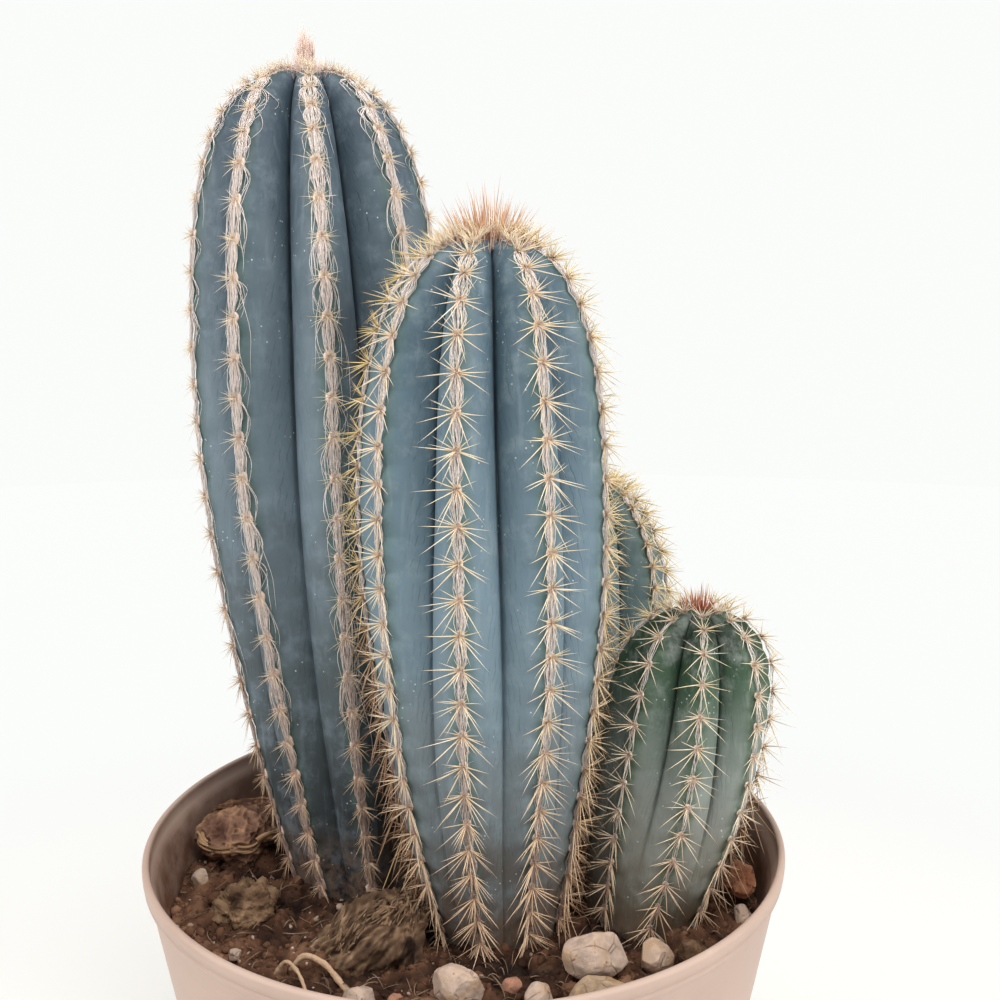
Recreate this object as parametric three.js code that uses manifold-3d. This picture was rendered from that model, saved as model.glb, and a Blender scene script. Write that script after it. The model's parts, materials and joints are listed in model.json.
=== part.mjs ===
// Potted tall cactus: four ribbed columns of a blue columnar cactus, growing in potting soil
// dressed with stones, bark and dry roots, in a small tapered plastic nursery pot.
// Millimetres, +Z up, origin at the middle of the pot's foot. The front of the plant faces -Y.
import * as THREE from "three";
import { mergeVertices } from "three/addons/utils/BufferGeometryUtils.js";
import Module from "manifold-3d";

const wasm = await Module();
wasm.setup();

// Driving dimensions
const POT_HEIGHT = 92;
const RIM_RADIUS = 60;
const FOOT_RADIUS = 43;
const WALL = 1.3;
const LIP_HEIGHT = 3.4;
const LIP_STEP = 0.9;
const FOOT_RECESS = 2;
const FOOT_RING = 4;
const DRAIN_HOLES = 8;
const DRAIN_RADIUS = 2;
const DRAIN_CIRCLE = 28;
const SOIL_DROP = 12.5;
const SOIL_LEVEL = POT_HEIGHT - SOIL_DROP;
const BURIED = 13;
const GAP = 0.3;
const ROUND_SIDES = 64;
const SIDES_PER_RIB = 6;

// Each column: how high it stands above the soil, where its axis meets the soil, bends and ends,
// its radii over the rib crests, where it is widest, and its tuft of young spines.
// "turn" is the angle from the front to its first rib, in degrees towards +X.
const COLUMNS = {
  stem_tall: {
    height: 156.4, foot: [-20.3, 6], bend: [-29.6, 22], tip: [-30.8, 22],
    ribs: 9, turn: 10, footRadius: 14, fullRadius: 24.5, fullAt: 0.6, swell: 2, crown: 2.8,
    tuftRadius: 2.8, tuftHeight: 8.9, rings: 15, color: "#5b7080",
  },
  stem_front: {
    height: 120, foot: [5.2, -15], bend: [2.2, -16], tip: [3.7, -17],
    ribs: 9, turn: -13, footRadius: 11.2, fullRadius: 20.9, fullAt: 0.6, swell: 1.8, crown: 2.7,
    tuftRadius: 5, tuftHeight: 7, rings: 14, color: "#5f7a86",
  },
  stem_small: {
    height: 56.5, foot: [33, -11], bend: [40.2, -11.5], tip: [41.7, -12],
    ribs: 8, turn: -5, footRadius: 11, fullRadius: 14.8, fullAt: 0.6, swell: 1.5, crown: 2.5,
    tuftRadius: 3, tuftHeight: 4.5, rings: 10, color: "#607a6e",
  },
  stem_back: {
    height: 75, foot: [24, 26], bend: [27, 27], tip: [28.5, 27],
    ribs: 8, turn: 2, footRadius: 11.5, fullRadius: 16.6, fullAt: 0.58, swell: 1.8, crown: 1.9,
    tuftRadius: 3, tuftHeight: 4.5, rings: 11, color: "#587079",
  },
};

// Stones, pebbles and lumps of soil: place on the soil, half sizes, how much of the height is
// above the soil, and turn about the upright.
const LUMPS = {
  stone_white_large: { at: [21.4, -32.5], half: [6, 4.3, 4.8], above: 0.76, turn: 6, color: "#c9b29f" },
  stone_yellow: { at: [21.2, -39.9], half: [6.2, 2.6, 3.3], above: 0.62, turn: 0, color: "#c2a27a" },
  stone_white_small: { at: [31.4, -31.4], half: [3.3, 3, 3.2], above: 0.75, turn: 30, color: "#c6b09c" },
  stone_front_left: { at: [-1.5, -39.5], half: [4.7, 3.8, 4.3], above: 0.75, turn: -20, color: "#bca193" },
  stone_front_mid: { at: [11.3, -40.8], half: [2.9, 2.5, 2.7], above: 0.7, turn: 50, color: "#bda38e" },
  stone_front_far_left: { at: [-17, -40.5], half: [3.3, 2.8, 2.7], above: 0.65, turn: 5, color: "#b89a80" },
  pebble_red_mid: { at: [7, -36.4], half: [2.1, 1.7, 1.6], above: 0.6, turn: 25, color: "#a26f55" },
  pebble_red_left: { at: [-11.2, -39.8], half: [1.7, 1.6, 1.5], above: 0.6, turn: 70, color: "#9c6b54" },
  pebble_white_left: { at: [-39.5, -26.5], half: [1.4, 1.2, 1.3], above: 0.7, turn: 15, color: "#c2ac98" },
  pebble_wall_left: { at: [-51.5, -2], half: [1.9, 1.8, 2.1], above: 0.8, turn: 40, color: "#b59c8b" },
  pebble_wall_right: { at: [49.6, -18.4], half: [2.1, 1.8, 2.1], above: 0.8, turn: 65, color: "#bfa794" },
  stone_back_large: { at: [-5, 42], half: [4.6, 3.6, 3.4], above: 0.6, turn: 35, color: "#b79f8c" },
  stone_back_small: { at: [8, 46], half: [2.5, 2.2, 2.2], above: 0.65, turn: -15, color: "#c0aa96" },
  pebble_back_left: { at: [-34, 36], half: [2.2, 1.8, 1.8], above: 0.6, turn: 80, color: "#ab9079" },
  clod_peat: { at: [-17, -24.3], half: [9.4, 7.3, 7.6], above: 0.6, turn: 0, color: "#5c4430" },
  clod_sandy: { at: [-40.5, -12], half: [6, 5.2, 4.9], above: 0.6, turn: 0, color: "#7d6449" },
  clod_right: { at: [38.4, -29], half: [3, 2.5, 2.6], above: 0.6, turn: -40, color: "#7a5f49" },
};

// Curled flakes of bark: place, size, curl, tilt and turn.
const FLAKES = {
  bark_curl: { at: [-45, 14], size: [17, 11.5, 1.4], curl: 3.2, rise: 3.8, tilt: 16, turn: 12, color: "#7a5038" },
  bark_red: { at: [51.2, -10], size: [8.6, 4.6, 1.8], curl: 1, rise: 3.4, tilt: 12, turn: 78, color: "#8f5a45" },
  bark_chip_back: { at: [-14, 33], size: [10, 5.5, 1.5], curl: 1.2, rise: 1.4, tilt: -6, turn: 35, color: "#6d4a35" },
  bark_chip_right: { at: [45.5, 12.5], size: [8, 4.4, 1.4], curl: 1, rise: 1.5, tilt: 8, turn: 110, color: "#74503a" },
};

// Dry roots lying on the soil: thickness and the points they pass through, heights above the soil.
const ROOTS = {
  root_thick: { radius: 0.55, points: [[-29.8, -30.4, -0.6], [-27.2, -31, 2.9], [-23.6, -32.8, 2.7], [-19.2, -36, -0.6]] },
  root_thin: { radius: 0.4, points: [[-32, -31, -0.6], [-29.9, -31.8, 2.4], [-27.2, -34.6, 1.8], [-25.2, -38.8, -0.8]] },
};
const ROOT_COLOR = "#a58260";

const degrees = THREE.MathUtils.degToRad;

function seededRandom(seed) {
  let state = seed;
  return () => {
    state = (state * 16807) % 2147483647;
    return state / 2147483647;
  };
}

// Closed geometry from shared points and triangles
function closedGeometry(points, triangles) {
  const geometry = new THREE.BufferGeometry();
  geometry.setAttribute("position", new THREE.Float32BufferAttribute(points.flat(), 3));
  geometry.setIndex(triangles.flat());
  return geometry;
}

// One shared point for each place, and no triangle that has shrunk to a line
function welded(geometry) {
  const bare = geometry.clone();
  bare.deleteAttribute("normal");
  bare.deleteAttribute("uv");
  const merged = mergeVertices(bare, 1e-4);
  const index = merged.index.array;
  const kept = [];
  for (let i = 0; i < index.length; i += 3) {
    const [a, b, c] = [index[i], index[i + 1], index[i + 2]];
    if (a !== b && b !== c && c !== a) kept.push(a, b, c);
  }
  merged.setIndex(kept);
  return merged;
}

function toSolid(geometry) {
  const merged = welded(geometry);
  const vertProperties = new Float32Array(merged.attributes.position.array);
  const triVerts = new Uint32Array(merged.index.array);
  return new wasm.Manifold(new wasm.Mesh({ numProp: 3, vertProperties, triVerts }));
}

function fromSolid(solid) {
  const mesh = solid.getMesh();
  const geometry = new THREE.BufferGeometry();
  geometry.setAttribute("position", new THREE.Float32BufferAttribute(mesh.vertProperties, 3));
  geometry.setIndex(new THREE.Uint32BufferAttribute(mesh.triVerts, 1));
  return geometry;
}

// A closed skin over a stack of rings with the same number of points, ended by two poles
function skinRings(rings, lowPole, highPole) {
  const sides = rings[0].length;
  const points = [lowPole, ...rings.flat(), highPole];
  const high = points.length - 1;
  const at = (ring, side) => 1 + ring * sides + (side % sides);
  const triangles = [];
  for (let side = 0; side < sides; side++) {
    triangles.push([0, at(0, side + 1), at(0, side)]);
    for (let ring = 0; ring < rings.length - 1; ring++) {
      triangles.push([at(ring, side), at(ring, side + 1), at(ring + 1, side + 1)]);
      triangles.push([at(ring, side), at(ring + 1, side + 1), at(ring + 1, side)]);
    }
    triangles.push([high, at(rings.length - 1, side), at(rings.length - 1, side + 1)]);
  }
  return closedGeometry(points, triangles);
}

// ---- The pot ----

function outerWallRadius(z) {
  const underLip = RIM_RADIUS - LIP_STEP;
  return THREE.MathUtils.mapLinear(z, 0, POT_HEIGHT - LIP_HEIGHT, FOOT_RADIUS, underLip);
}

function innerWallRadius(z) {
  return outerWallRadius(z) - WALL;
}

function potGeometry() {
  const floorTop = FOOT_RECESS + WALL;
  const lipFoot = POT_HEIGHT - LIP_HEIGHT;
  const lipHalf = WALL / 2;
  const outline = [
    [0, FOOT_RECESS],
    [FOOT_RADIUS - 1 - FOOT_RING, FOOT_RECESS],
    [FOOT_RADIUS - 1 - FOOT_RING, 0],
    [FOOT_RADIUS - 1, 0],
    [outerWallRadius(1), 1],
    [outerWallRadius(lipFoot / 2), lipFoot / 2],
    [outerWallRadius(lipFoot), lipFoot],
    [RIM_RADIUS, lipFoot + 0.5],
  ];
  for (const angle of [0, 45, 90, 135, 180]) {
    const across = lipHalf * Math.cos(degrees(angle));
    const up = lipHalf * Math.sin(degrees(angle));
    outline.push([RIM_RADIUS - lipHalf + across, POT_HEIGHT - lipHalf + up]);
  }
  outline.push([innerWallRadius(lipFoot) + 0.2, lipFoot]);
  outline.push([innerWallRadius(floorTop + 1), floorTop + 1]);
  outline.push([innerWallRadius(floorTop + 1) - 1, floorTop]);
  outline.push([0, floorTop]);
  const profile = outline.map(([r, z]) => new THREE.Vector2(r, z));
  const shell = new THREE.LatheGeometry(profile, ROUND_SIDES);
  shell.rotateX(degrees(90));
  let solid = toSolid(shell);
  for (let hole = 0; hole < DRAIN_HOLES; hole++) {
    const angle = degrees((hole + 0.5) * 360 / DRAIN_HOLES);
    const drill = new THREE.CylinderGeometry(DRAIN_RADIUS, DRAIN_RADIUS, 3 * floorTop, 12);
    drill.rotateX(degrees(90));
    drill.translate(DRAIN_CIRCLE * Math.cos(angle), DRAIN_CIRCLE * Math.sin(angle), floorTop);
    solid = solid.subtract(toSolid(drill));
  }
  return fromSolid(solid);
}

// ---- The columns ----

// The axis at a share of the height, a smooth bend from the foot to the tip
function columnAxis(column, share) {
  const place = (i) => {
    const [from, via, to] = [column.foot[i], column.bend[i], column.tip[i]];
    return from * (1 - share) ** 2 + 2 * via * share * (1 - share) + to * share ** 2;
  };
  return [place(0), place(1)];
}

// Radius over the rib crests: it swells up to the widest place, then closes in a rounded crown
function crestRadius(column, share) {
  const { footRadius, fullRadius, fullAt, swell, crown } = column;
  if (share < fullAt) {
    const missing = (fullRadius - footRadius) * (1 - Math.max(share, 0) / fullAt) ** swell;
    return fullRadius - missing;
  }
  const toTip = (share - fullAt) / (1 - fullAt);
  return fullRadius * (1 - toTip ** crown) ** (1 / crown);
}

// Depth of the furrows as a share of the radius: shallow at the foot, deep at the crown
function furrowDepth(share) {
  return THREE.MathUtils.lerp(0.1, 0.36, THREE.MathUtils.smoothstep(share, 0, 0.95));
}

function ribbedRing(column, share, radius, depth, z) {
  const [x, y] = columnAxis(column, Math.max(share, 0));
  const sides = column.ribs * SIDES_PER_RIB;
  const ring = [];
  for (let side = 0; side < sides; side++) {
    const angle = degrees(column.turn + side * 360 / sides);
    const offCrest = Math.abs(((side / SIDES_PER_RIB + 0.5) % 1) - 0.5) * 2;
    const reach = radius * (1 - depth * (1 - Math.cos(offCrest * Math.PI / 2)));
    ring.push([x + reach * Math.sin(angle), y - reach * Math.cos(angle), z]);
  }
  return ring;
}

function columnGeometry(column, grow = 0) {
  const rings = [];
  for (const [below, narrowing] of [[BURIED, 0.6], [BURIED * 0.35, 0.96]]) {
    const z = SOIL_LEVEL - below - grow;
    rings.push(ribbedRing(column, 0, column.footRadius * narrowing + grow, 0.08, z));
  }
  const tuftFoot = column.tuftRadius / column.fullRadius;
  const lastShare = column.fullAt + (1 - column.fullAt) * (1 - tuftFoot ** column.crown) ** (1 / column.crown);
  for (let step = 0; step <= column.rings; step++) {
    const share = lastShare * Math.sin((step / column.rings) * Math.PI / 2) ** 0.9;
    const z = SOIL_LEVEL + share * column.height;
    rings.push(ribbedRing(column, share, crestRadius(column, share) + grow, furrowDepth(share), z));
  }
  const tuftBase = SOIL_LEVEL + lastShare * column.height;
  const tuftTop = SOIL_LEVEL + column.height + column.tuftHeight;
  const halfway = (tuftBase + tuftTop) / 2;
  rings.push(ribbedRing(column, 1, column.tuftRadius * 0.8 + grow, 0, halfway));
  const [footX, footY] = column.foot;
  const [tipX, tipY] = column.tip;
  const lowPole = [footX, footY, SOIL_LEVEL - BURIED - 1 - grow];
  return skinRings(rings, lowPole, [tipX, tipY, tuftTop + grow]);
}

// ---- Stones, bark and roots ----

// A worn stone: a ball with a few flats knocked off, stretched to its half sizes
function lumpGeometry(lump, seed, grow = 0) {
  const random = seededRandom(seed);
  const flats = [];
  for (let flat = 0; flat < 9; flat++) {
    const normal = new THREE.Vector3(random() - 0.5, random() - 0.5, random() - 0.5).normalize();
    flats.push({ normal, distance: 0.8 + 0.15 * random() });
  }
  const largest = Math.max(...lump.half);
  const ball = welded(new THREE.IcosahedronGeometry(1, largest > 3 ? 2 : 1));
  const position = ball.attributes.position;
  const point = new THREE.Vector3();
  for (let i = 0; i < position.count; i++) {
    point.fromBufferAttribute(position, i).normalize();
    let reach = 1;
    for (const { normal, distance } of flats) {
      const towards = point.dot(normal);
      if (towards > distance) reach = Math.min(reach, distance / towards);
    }
    position.setXYZ(i, ...point.multiplyScalar(reach).toArray());
  }
  const [a, b, c] = lump.half.map((half) => half + grow);
  ball.scale(a, b, c);
  ball.rotateZ(degrees(lump.turn));
  const height = 2 * lump.half[2];
  ball.translate(lump.at[0], lump.at[1], SOIL_LEVEL + height * (lump.above - 0.5));
  return ball;
}

// A flake of bark: a thin slab, curled up along both long edges
function flakeGeometry(flake, grow = 0) {
  const [length, width, thickness] = flake.size;
  const size = [length + 2 * grow, width + 2 * grow, thickness + 2 * grow];
  const slab = welded(new THREE.BoxGeometry(...size, 6, 4, 1));
  const position = slab.attributes.position;
  for (let i = 0; i < position.count; i++) {
    const along = position.getX(i) / (size[0] / 2);
    const across = position.getY(i) / (size[1] / 2);
    const narrowed = position.getY(i) * (1 - 0.3 * along ** 2);
    position.setY(i, narrowed);
    position.setZ(i, position.getZ(i) + flake.curl * across ** 2 + 0.3 * Math.sin(2.5 * along));
  }
  slab.rotateX(degrees(flake.tilt));
  slab.rotateZ(degrees(flake.turn));
  slab.translate(flake.at[0], flake.at[1], SOIL_LEVEL + flake.rise);
  return slab;
}

function rootGeometry(root, grow = 0) {
  const points = root.points.map(([x, y, z]) => new THREE.Vector3(x, y, SOIL_LEVEL + z));
  const path = new THREE.CatmullRomCurve3(points);
  const section = new THREE.Shape();
  section.absarc(0, 0, root.radius + grow, 0, 2 * Math.PI);
  const settings = { extrudePath: path, steps: 14, curveSegments: 3 };
  return welded(new THREE.ExtrudeGeometry(section, settings));
}

// ---- The soil ----

// The uneven top of the soil, heaped a little under the bark curl and round the peat clod
function soilHeight(x, y) {
  const waves = 0.5 * Math.sin(0.23 * x + 0.8) * Math.cos(0.19 * y) + 0.3 * Math.sin(0.5 * x - 0.4 * y);
  const heap = 1.6 * Math.exp(-((x + 44) ** 2 + (y - 13) ** 2) / 90);
  const bank = 1.2 * Math.exp(-((x + 19) ** 2 + (y + 21) ** 2) / 110);
  return SOIL_LEVEL - 0.6 + waves + heap + bank;
}

function soilGeometry(cutters) {
  const sides = 48;
  const floor = FOOT_RECESS + WALL + GAP;
  const ringAt = (radius, heightAt) => {
    const ring = [];
    for (let side = 0; side < sides; side++) {
      const angle = degrees(side * 360 / sides);
      const x = radius * Math.cos(angle);
      const y = radius * Math.sin(angle);
      ring.push([x, y, heightAt(x, y)]);
    }
    return ring;
  };
  // The chords of the many-sided wall bring it a little nearer than its true radius
  const chord = Math.cos(Math.PI / ROUND_SIDES);
  const edge = (z) => innerWallRadius(z) * chord - GAP;
  const wallTop = SOIL_LEVEL - 1.6;
  const rings = [ringAt(edge(floor + 1) - 1, () => floor), ringAt(edge(floor + 1), () => floor + 1)];
  const stepsIn = 9;
  for (let step = 0; step < stepsIn; step++) {
    rings.push(ringAt(edge(wallTop) * (1 - step / stepsIn), soilHeight));
  }
  let solid = toSolid(skinRings(rings, [0, 0, floor], [0, 0, soilHeight(0, 0)]));
  for (const cutter of cutters) solid = solid.subtract(toSolid(cutter));
  return fromSolid(solid);
}

// ---- Assembly ----

const plant = new THREE.Group();

function addPiece(name, geometry, color, roughness) {
  const material = new THREE.MeshStandardMaterial({ color, roughness, metalness: 0 });
  const mesh = new THREE.Mesh(geometry, material);
  mesh.name = name;
  plant.add(mesh);
}

addPiece("pot", potGeometry(), "#cdb2a3", 0.5);

const cutters = [];
for (const [name, column] of Object.entries(COLUMNS)) {
  addPiece(name, columnGeometry(column), column.color, 0.6);
  cutters.push(columnGeometry(column, GAP));
}
for (const [order, [name, lump]] of Object.entries(LUMPS).entries()) {
  const seed = 101 + 37 * order;
  addPiece(name, lumpGeometry(lump, seed), lump.color, 0.9);
  cutters.push(lumpGeometry(lump, seed, GAP));
}
for (const [name, flake] of Object.entries(FLAKES)) {
  addPiece(name, flakeGeometry(flake), flake.color, 0.95);
  cutters.push(flakeGeometry(flake, GAP));
}
for (const [name, root] of Object.entries(ROOTS)) {
  addPiece(name, rootGeometry(root), ROOT_COLOR, 0.9);
  cutters.push(rootGeometry(root, GAP));
}

addPiece("potting_soil", soilGeometry(cutters), "#5b4131", 1);

export default plant;
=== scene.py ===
import itertools
import json
import math

import bmesh
import bpy
import numpy as np
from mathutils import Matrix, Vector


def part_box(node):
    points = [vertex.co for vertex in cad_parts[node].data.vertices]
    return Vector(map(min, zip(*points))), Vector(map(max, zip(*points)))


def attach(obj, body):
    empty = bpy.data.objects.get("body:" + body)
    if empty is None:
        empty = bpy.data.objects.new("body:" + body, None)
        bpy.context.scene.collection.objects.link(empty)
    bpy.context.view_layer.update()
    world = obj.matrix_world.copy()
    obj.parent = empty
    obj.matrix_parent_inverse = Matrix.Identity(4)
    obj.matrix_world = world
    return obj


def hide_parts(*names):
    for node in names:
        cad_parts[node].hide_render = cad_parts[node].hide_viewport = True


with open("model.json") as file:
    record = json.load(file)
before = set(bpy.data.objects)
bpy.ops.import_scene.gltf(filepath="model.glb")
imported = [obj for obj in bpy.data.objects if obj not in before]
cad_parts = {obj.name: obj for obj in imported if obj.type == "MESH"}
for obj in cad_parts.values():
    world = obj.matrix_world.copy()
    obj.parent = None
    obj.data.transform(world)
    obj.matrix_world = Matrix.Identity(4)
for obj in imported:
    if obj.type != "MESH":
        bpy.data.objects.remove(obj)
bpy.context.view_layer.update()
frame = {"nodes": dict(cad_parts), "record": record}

# Potted tall cactus. Points are worked out in millimetres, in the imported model's frame, and become
# metres when a mesh is made. The front of the plant faces -Y.
MM = 0.001
rng = np.random.default_rng(11)

POT_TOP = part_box("pot")[1][2] / MM
RIM_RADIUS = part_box("pot")[1][0] / MM
FOOT_RADIUS = 43.0
WALL = 1.3
LIP_HEIGHT = 3.4
LIP_STEP = 0.9
FOOT_RECESS = 2.0
FOOT_RING = 4.0
DRAIN_HOLES = 8
DRAIN_RADIUS = 2.0
DRAIN_CIRCLE = 28.0
SOIL_LEVEL = POT_TOP - 12.5
# Loose fibres stay within this radius, and the columns reach this far below the soil.
SOIL_EDGE = 55.2
BURIED = 12
TAU = 2 * math.pi
# A mesh of strands with more triangles than this is split into several pieces.
MOST_TRIANGLES = 190000

# The columns' axes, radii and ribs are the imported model's; the rest is their fine surface.
# "spacing" is the distance between areoles along a rib at these shares of the height.
SPACING_AT = [0, 0.35, 0.85, 0.95, 1]
# The areoles are counted up to this share of the height.
NEAR_TIP = 0.9995
# foot, bend and tip steer the axis. full_radius is reached at the share full_at, and swell and
# crown shape the outline below and above it. turn is the first rib's angle, in degrees. depth is
# the furrows' depth at the soil and at the tip, as a share of the radius. felt is half the width
# and height of a pad. golden tints the spines of the side ribs, and gilt those of all ribs.
COLUMNS = {
    "stem_tall": dict(
        foot=(-20.3, 6), bend=(-29.6, 22), tip=(-30.8, 22), ribs=9, turn=10, tuft=8.9,
        foot_radius=14, full_radius=24.5, full_at=0.6, swell=2, crown=2.8,
        spacing=[5.0, 7.4, 7.0, 4.5, 2.0], spine_length=0.6, spines=14, centrals=3, combed=40,
        comb_width=0.95, felt=(1.05, 1.25), curls=True, golden=0.75, gilt=0.1, depth=(0.09, 0.40)),
    "stem_front": dict(
        foot=(5.2, -15), bend=(2.2, -16), tip=(3.7, -17), ribs=9, turn=-13, tuft=7,
        foot_radius=11.2, full_radius=20.9, full_at=0.6, swell=1.8, crown=2.7,
        spacing=[4.6, 5.5, 5.9, 4.5, 2.0], spine_length=1.0, spines=14, centrals=3, combed=28,
        comb_width=0.9, felt=(0.7, 0.85), curls=False, golden=0.85, gilt=0.1, depth=(0.06, 0.39)),
    "stem_small": dict(
        foot=(33, -11), bend=(40.2, -11.5), tip=(41.7, -12), ribs=8, turn=-5, tuft=4.5,
        foot_radius=11, full_radius=14.8, full_at=0.6, swell=1.5, crown=2.5,
        spacing=[4.2, 5.2, 5.4, 4.4, 2.4], spine_length=0.92, spines=10, centrals=2, combed=7,
        comb_width=0.35, felt=(0.5, 0.6), curls=False, golden=0.5, gilt=0.05, depth=(0.02, 0.37)),
    "stem_back": dict(
        foot=(24, 26), bend=(27, 27), tip=(28.5, 27), ribs=8, turn=2, tuft=4.5,
        foot_radius=11.5, full_radius=16.6, full_at=0.58, swell=1.8, crown=1.9,
        spacing=[4.4, 4.6, 4.6, 3.6, 2.0], spine_length=1.12, spines=14, centrals=5, combed=26,
        comb_width=0.6, felt=(0.55, 0.65), curls=False, golden=0.7, gilt=0.5, depth=(0.07, 0.38)),
}

# The short hairs on each areole's felt.
HAIRS_OF_FUZZ = 46

# One areole's spines on a rib that faces the viewer: direction in the skin's plane, in degrees
# from the right towards the tip, lift away from the skin, and length in millimetres.
SPINE_FAN = [
    (180, 24, 6.2), (-8, 24, 5.6), (221, 20, 7.0), (-37, 20, 6.8), (155, 30, 4.8), (24, 30, 4.6),
    (246, 15, 6.0), (292, 15, 6.0), (118, 38, 3.4), (66, 38, 3.4), (200, 26, 5.6), (-23, 26, 5.6),
    (136, 34, 4.0), (46, 34, 4.0),
]


# ---- Numbers ----

def smoothstep(x, low, high):
    t = np.clip((x - low) / (high - low), 0, 1)
    return t * t * (3 - 2 * t)


def lerp(a, b, t):
    return a + (b - a) * t


def unit(vectors):
    return vectors / np.maximum(np.linalg.norm(vectors, axis=-1, keepdims=True), 1e-12)


def lattice(cells, seed):
    """A repeatable number from 0 to 1 for each whole-numbered cell."""
    mixed = cells[..., 0] * 374761393 + cells[..., 1] * 668265263 + cells[..., 2] * 2147483647
    mixed = (mixed + seed * 1274126177) & 0xFFFFFFFF
    mixed = ((mixed ^ (mixed >> 13)) * 1103515245) & 0xFFFFFFFF
    return ((mixed ^ (mixed >> 16)) & 0xFFFF) / 65535.0


def noise(points, size, seed=0):
    """Smooth noise from -1 to 1 with bumps about size across."""
    scaled = np.asarray(points, float) / size
    cell = np.floor(scaled).astype(np.int64)
    inside = smoothstep(scaled - cell, 0, 1)
    total = 0
    for corner in itertools.product((0, 1), repeat=3):
        part = lattice(cell + np.array(corner), seed)
        for axis, beyond in enumerate(corner):
            part = part * (inside[..., axis] if beyond else 1 - inside[..., axis])
        total = total + part
    return total * 2 - 1


def rough(points, size, octaves=4, seed=0):
    """Noise on several scales, each half as large and half as strong as the last."""
    total = 0
    for octave in range(octaves):
        total = total + noise(points, size / 2 ** octave, seed + octave) / 2 ** octave
    return total


# ---- Meshes ----

def in_scene(name, data):
    """A new object in the scene, made from a mesh, a lamp or a lens."""
    made = bpy.data.objects.new(name, data)
    bpy.context.scene.collection.objects.link(made)
    return made


def evaluated_mesh(piece):
    """The mesh that a piece's modifiers make."""
    graph = bpy.context.evaluated_depsgraph_get()
    return bpy.data.meshes.new_from_object(piece.evaluated_get(graph))


def mesh_from(name, points, faces):
    """A mesh from points in millimetres and a list of faces."""
    mesh = bpy.data.meshes.new(name)
    mesh.from_pydata((np.asarray(points) * MM).tolist(), [], faces)
    return mesh


def mesh_object(name, points, faces, material, smooth=True, attributes=None, node=None):
    """A piece that rides on the pot's body. faces is an array of triangles or of quads, or a list."""
    if isinstance(faces, np.ndarray):
        mesh = bpy.data.meshes.new(name)
        sides = faces.shape[1]
        mesh.vertices.add(len(points))
        mesh.vertices.foreach_set("co", (np.asarray(points) * MM).astype(np.float32).ravel())
        mesh.loops.add(faces.size)
        mesh.loops.foreach_set("vertex_index", faces.astype(np.int32).ravel())
        mesh.polygons.add(len(faces))
        mesh.polygons.foreach_set("loop_start", np.arange(0, faces.size, sides, dtype=np.int32))
    else:
        mesh = mesh_from(name, points, faces)
    mesh.update(calc_edges=True)
    mesh.polygons.foreach_set("use_smooth", np.full(len(mesh.polygons), smooth))
    for label, values in (attributes or {}).items():
        layer = mesh.attributes.new(label, "FLOAT", "POINT")
        layer.data.foreach_set("value", np.asarray(values, np.float32))
    mesh.validate()
    mesh.materials.append(material)
    piece = in_scene(name, mesh)
    if node:
        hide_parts(node)
    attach(piece, "root")
    return piece


def box_mm(node):
    """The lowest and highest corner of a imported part, in millimetres."""
    return [np.array(corner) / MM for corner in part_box(node)]


def circle(radius, height, sides):
    """Points round a level circle about the pot's axis."""
    angles = np.arange(sides) * TAU / sides
    return np.stack([radius * np.cos(angles), radius * np.sin(angles), np.full(sides, height)], 1)


def repeated(pattern, copies, points):
    """The triangles of many copies of a pattern that has this many points."""
    return (pattern[None] + np.arange(copies)[:, None, None] * points).reshape(-1, 3)


def ring_faces(rings, sides, low_pole=None, high_pole=None):
    """Triangles that skin a stack of rings, closed by a pole at either end."""
    ring, side = np.meshgrid(np.arange(rings - 1), np.arange(sides), indexing="ij")
    here = (ring * sides + side).ravel()
    beside = (ring * sides + (side + 1) % sides).ravel()
    faces = [
        np.stack([here, beside, beside + sides], 1),
        np.stack([here, beside + sides, here + sides], 1),
    ]
    around = np.arange(sides)
    if low_pole is not None:
        faces.append(np.stack([np.full(sides, low_pole), (around + 1) % sides, around], 1))
    if high_pole is not None:
        last = (rings - 1) * sides
        beside = last + (around + 1) % sides
        faces.append(np.stack([np.full(sides, high_pole), last + around, beside], 1))
    return np.concatenate(faces)


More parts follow.
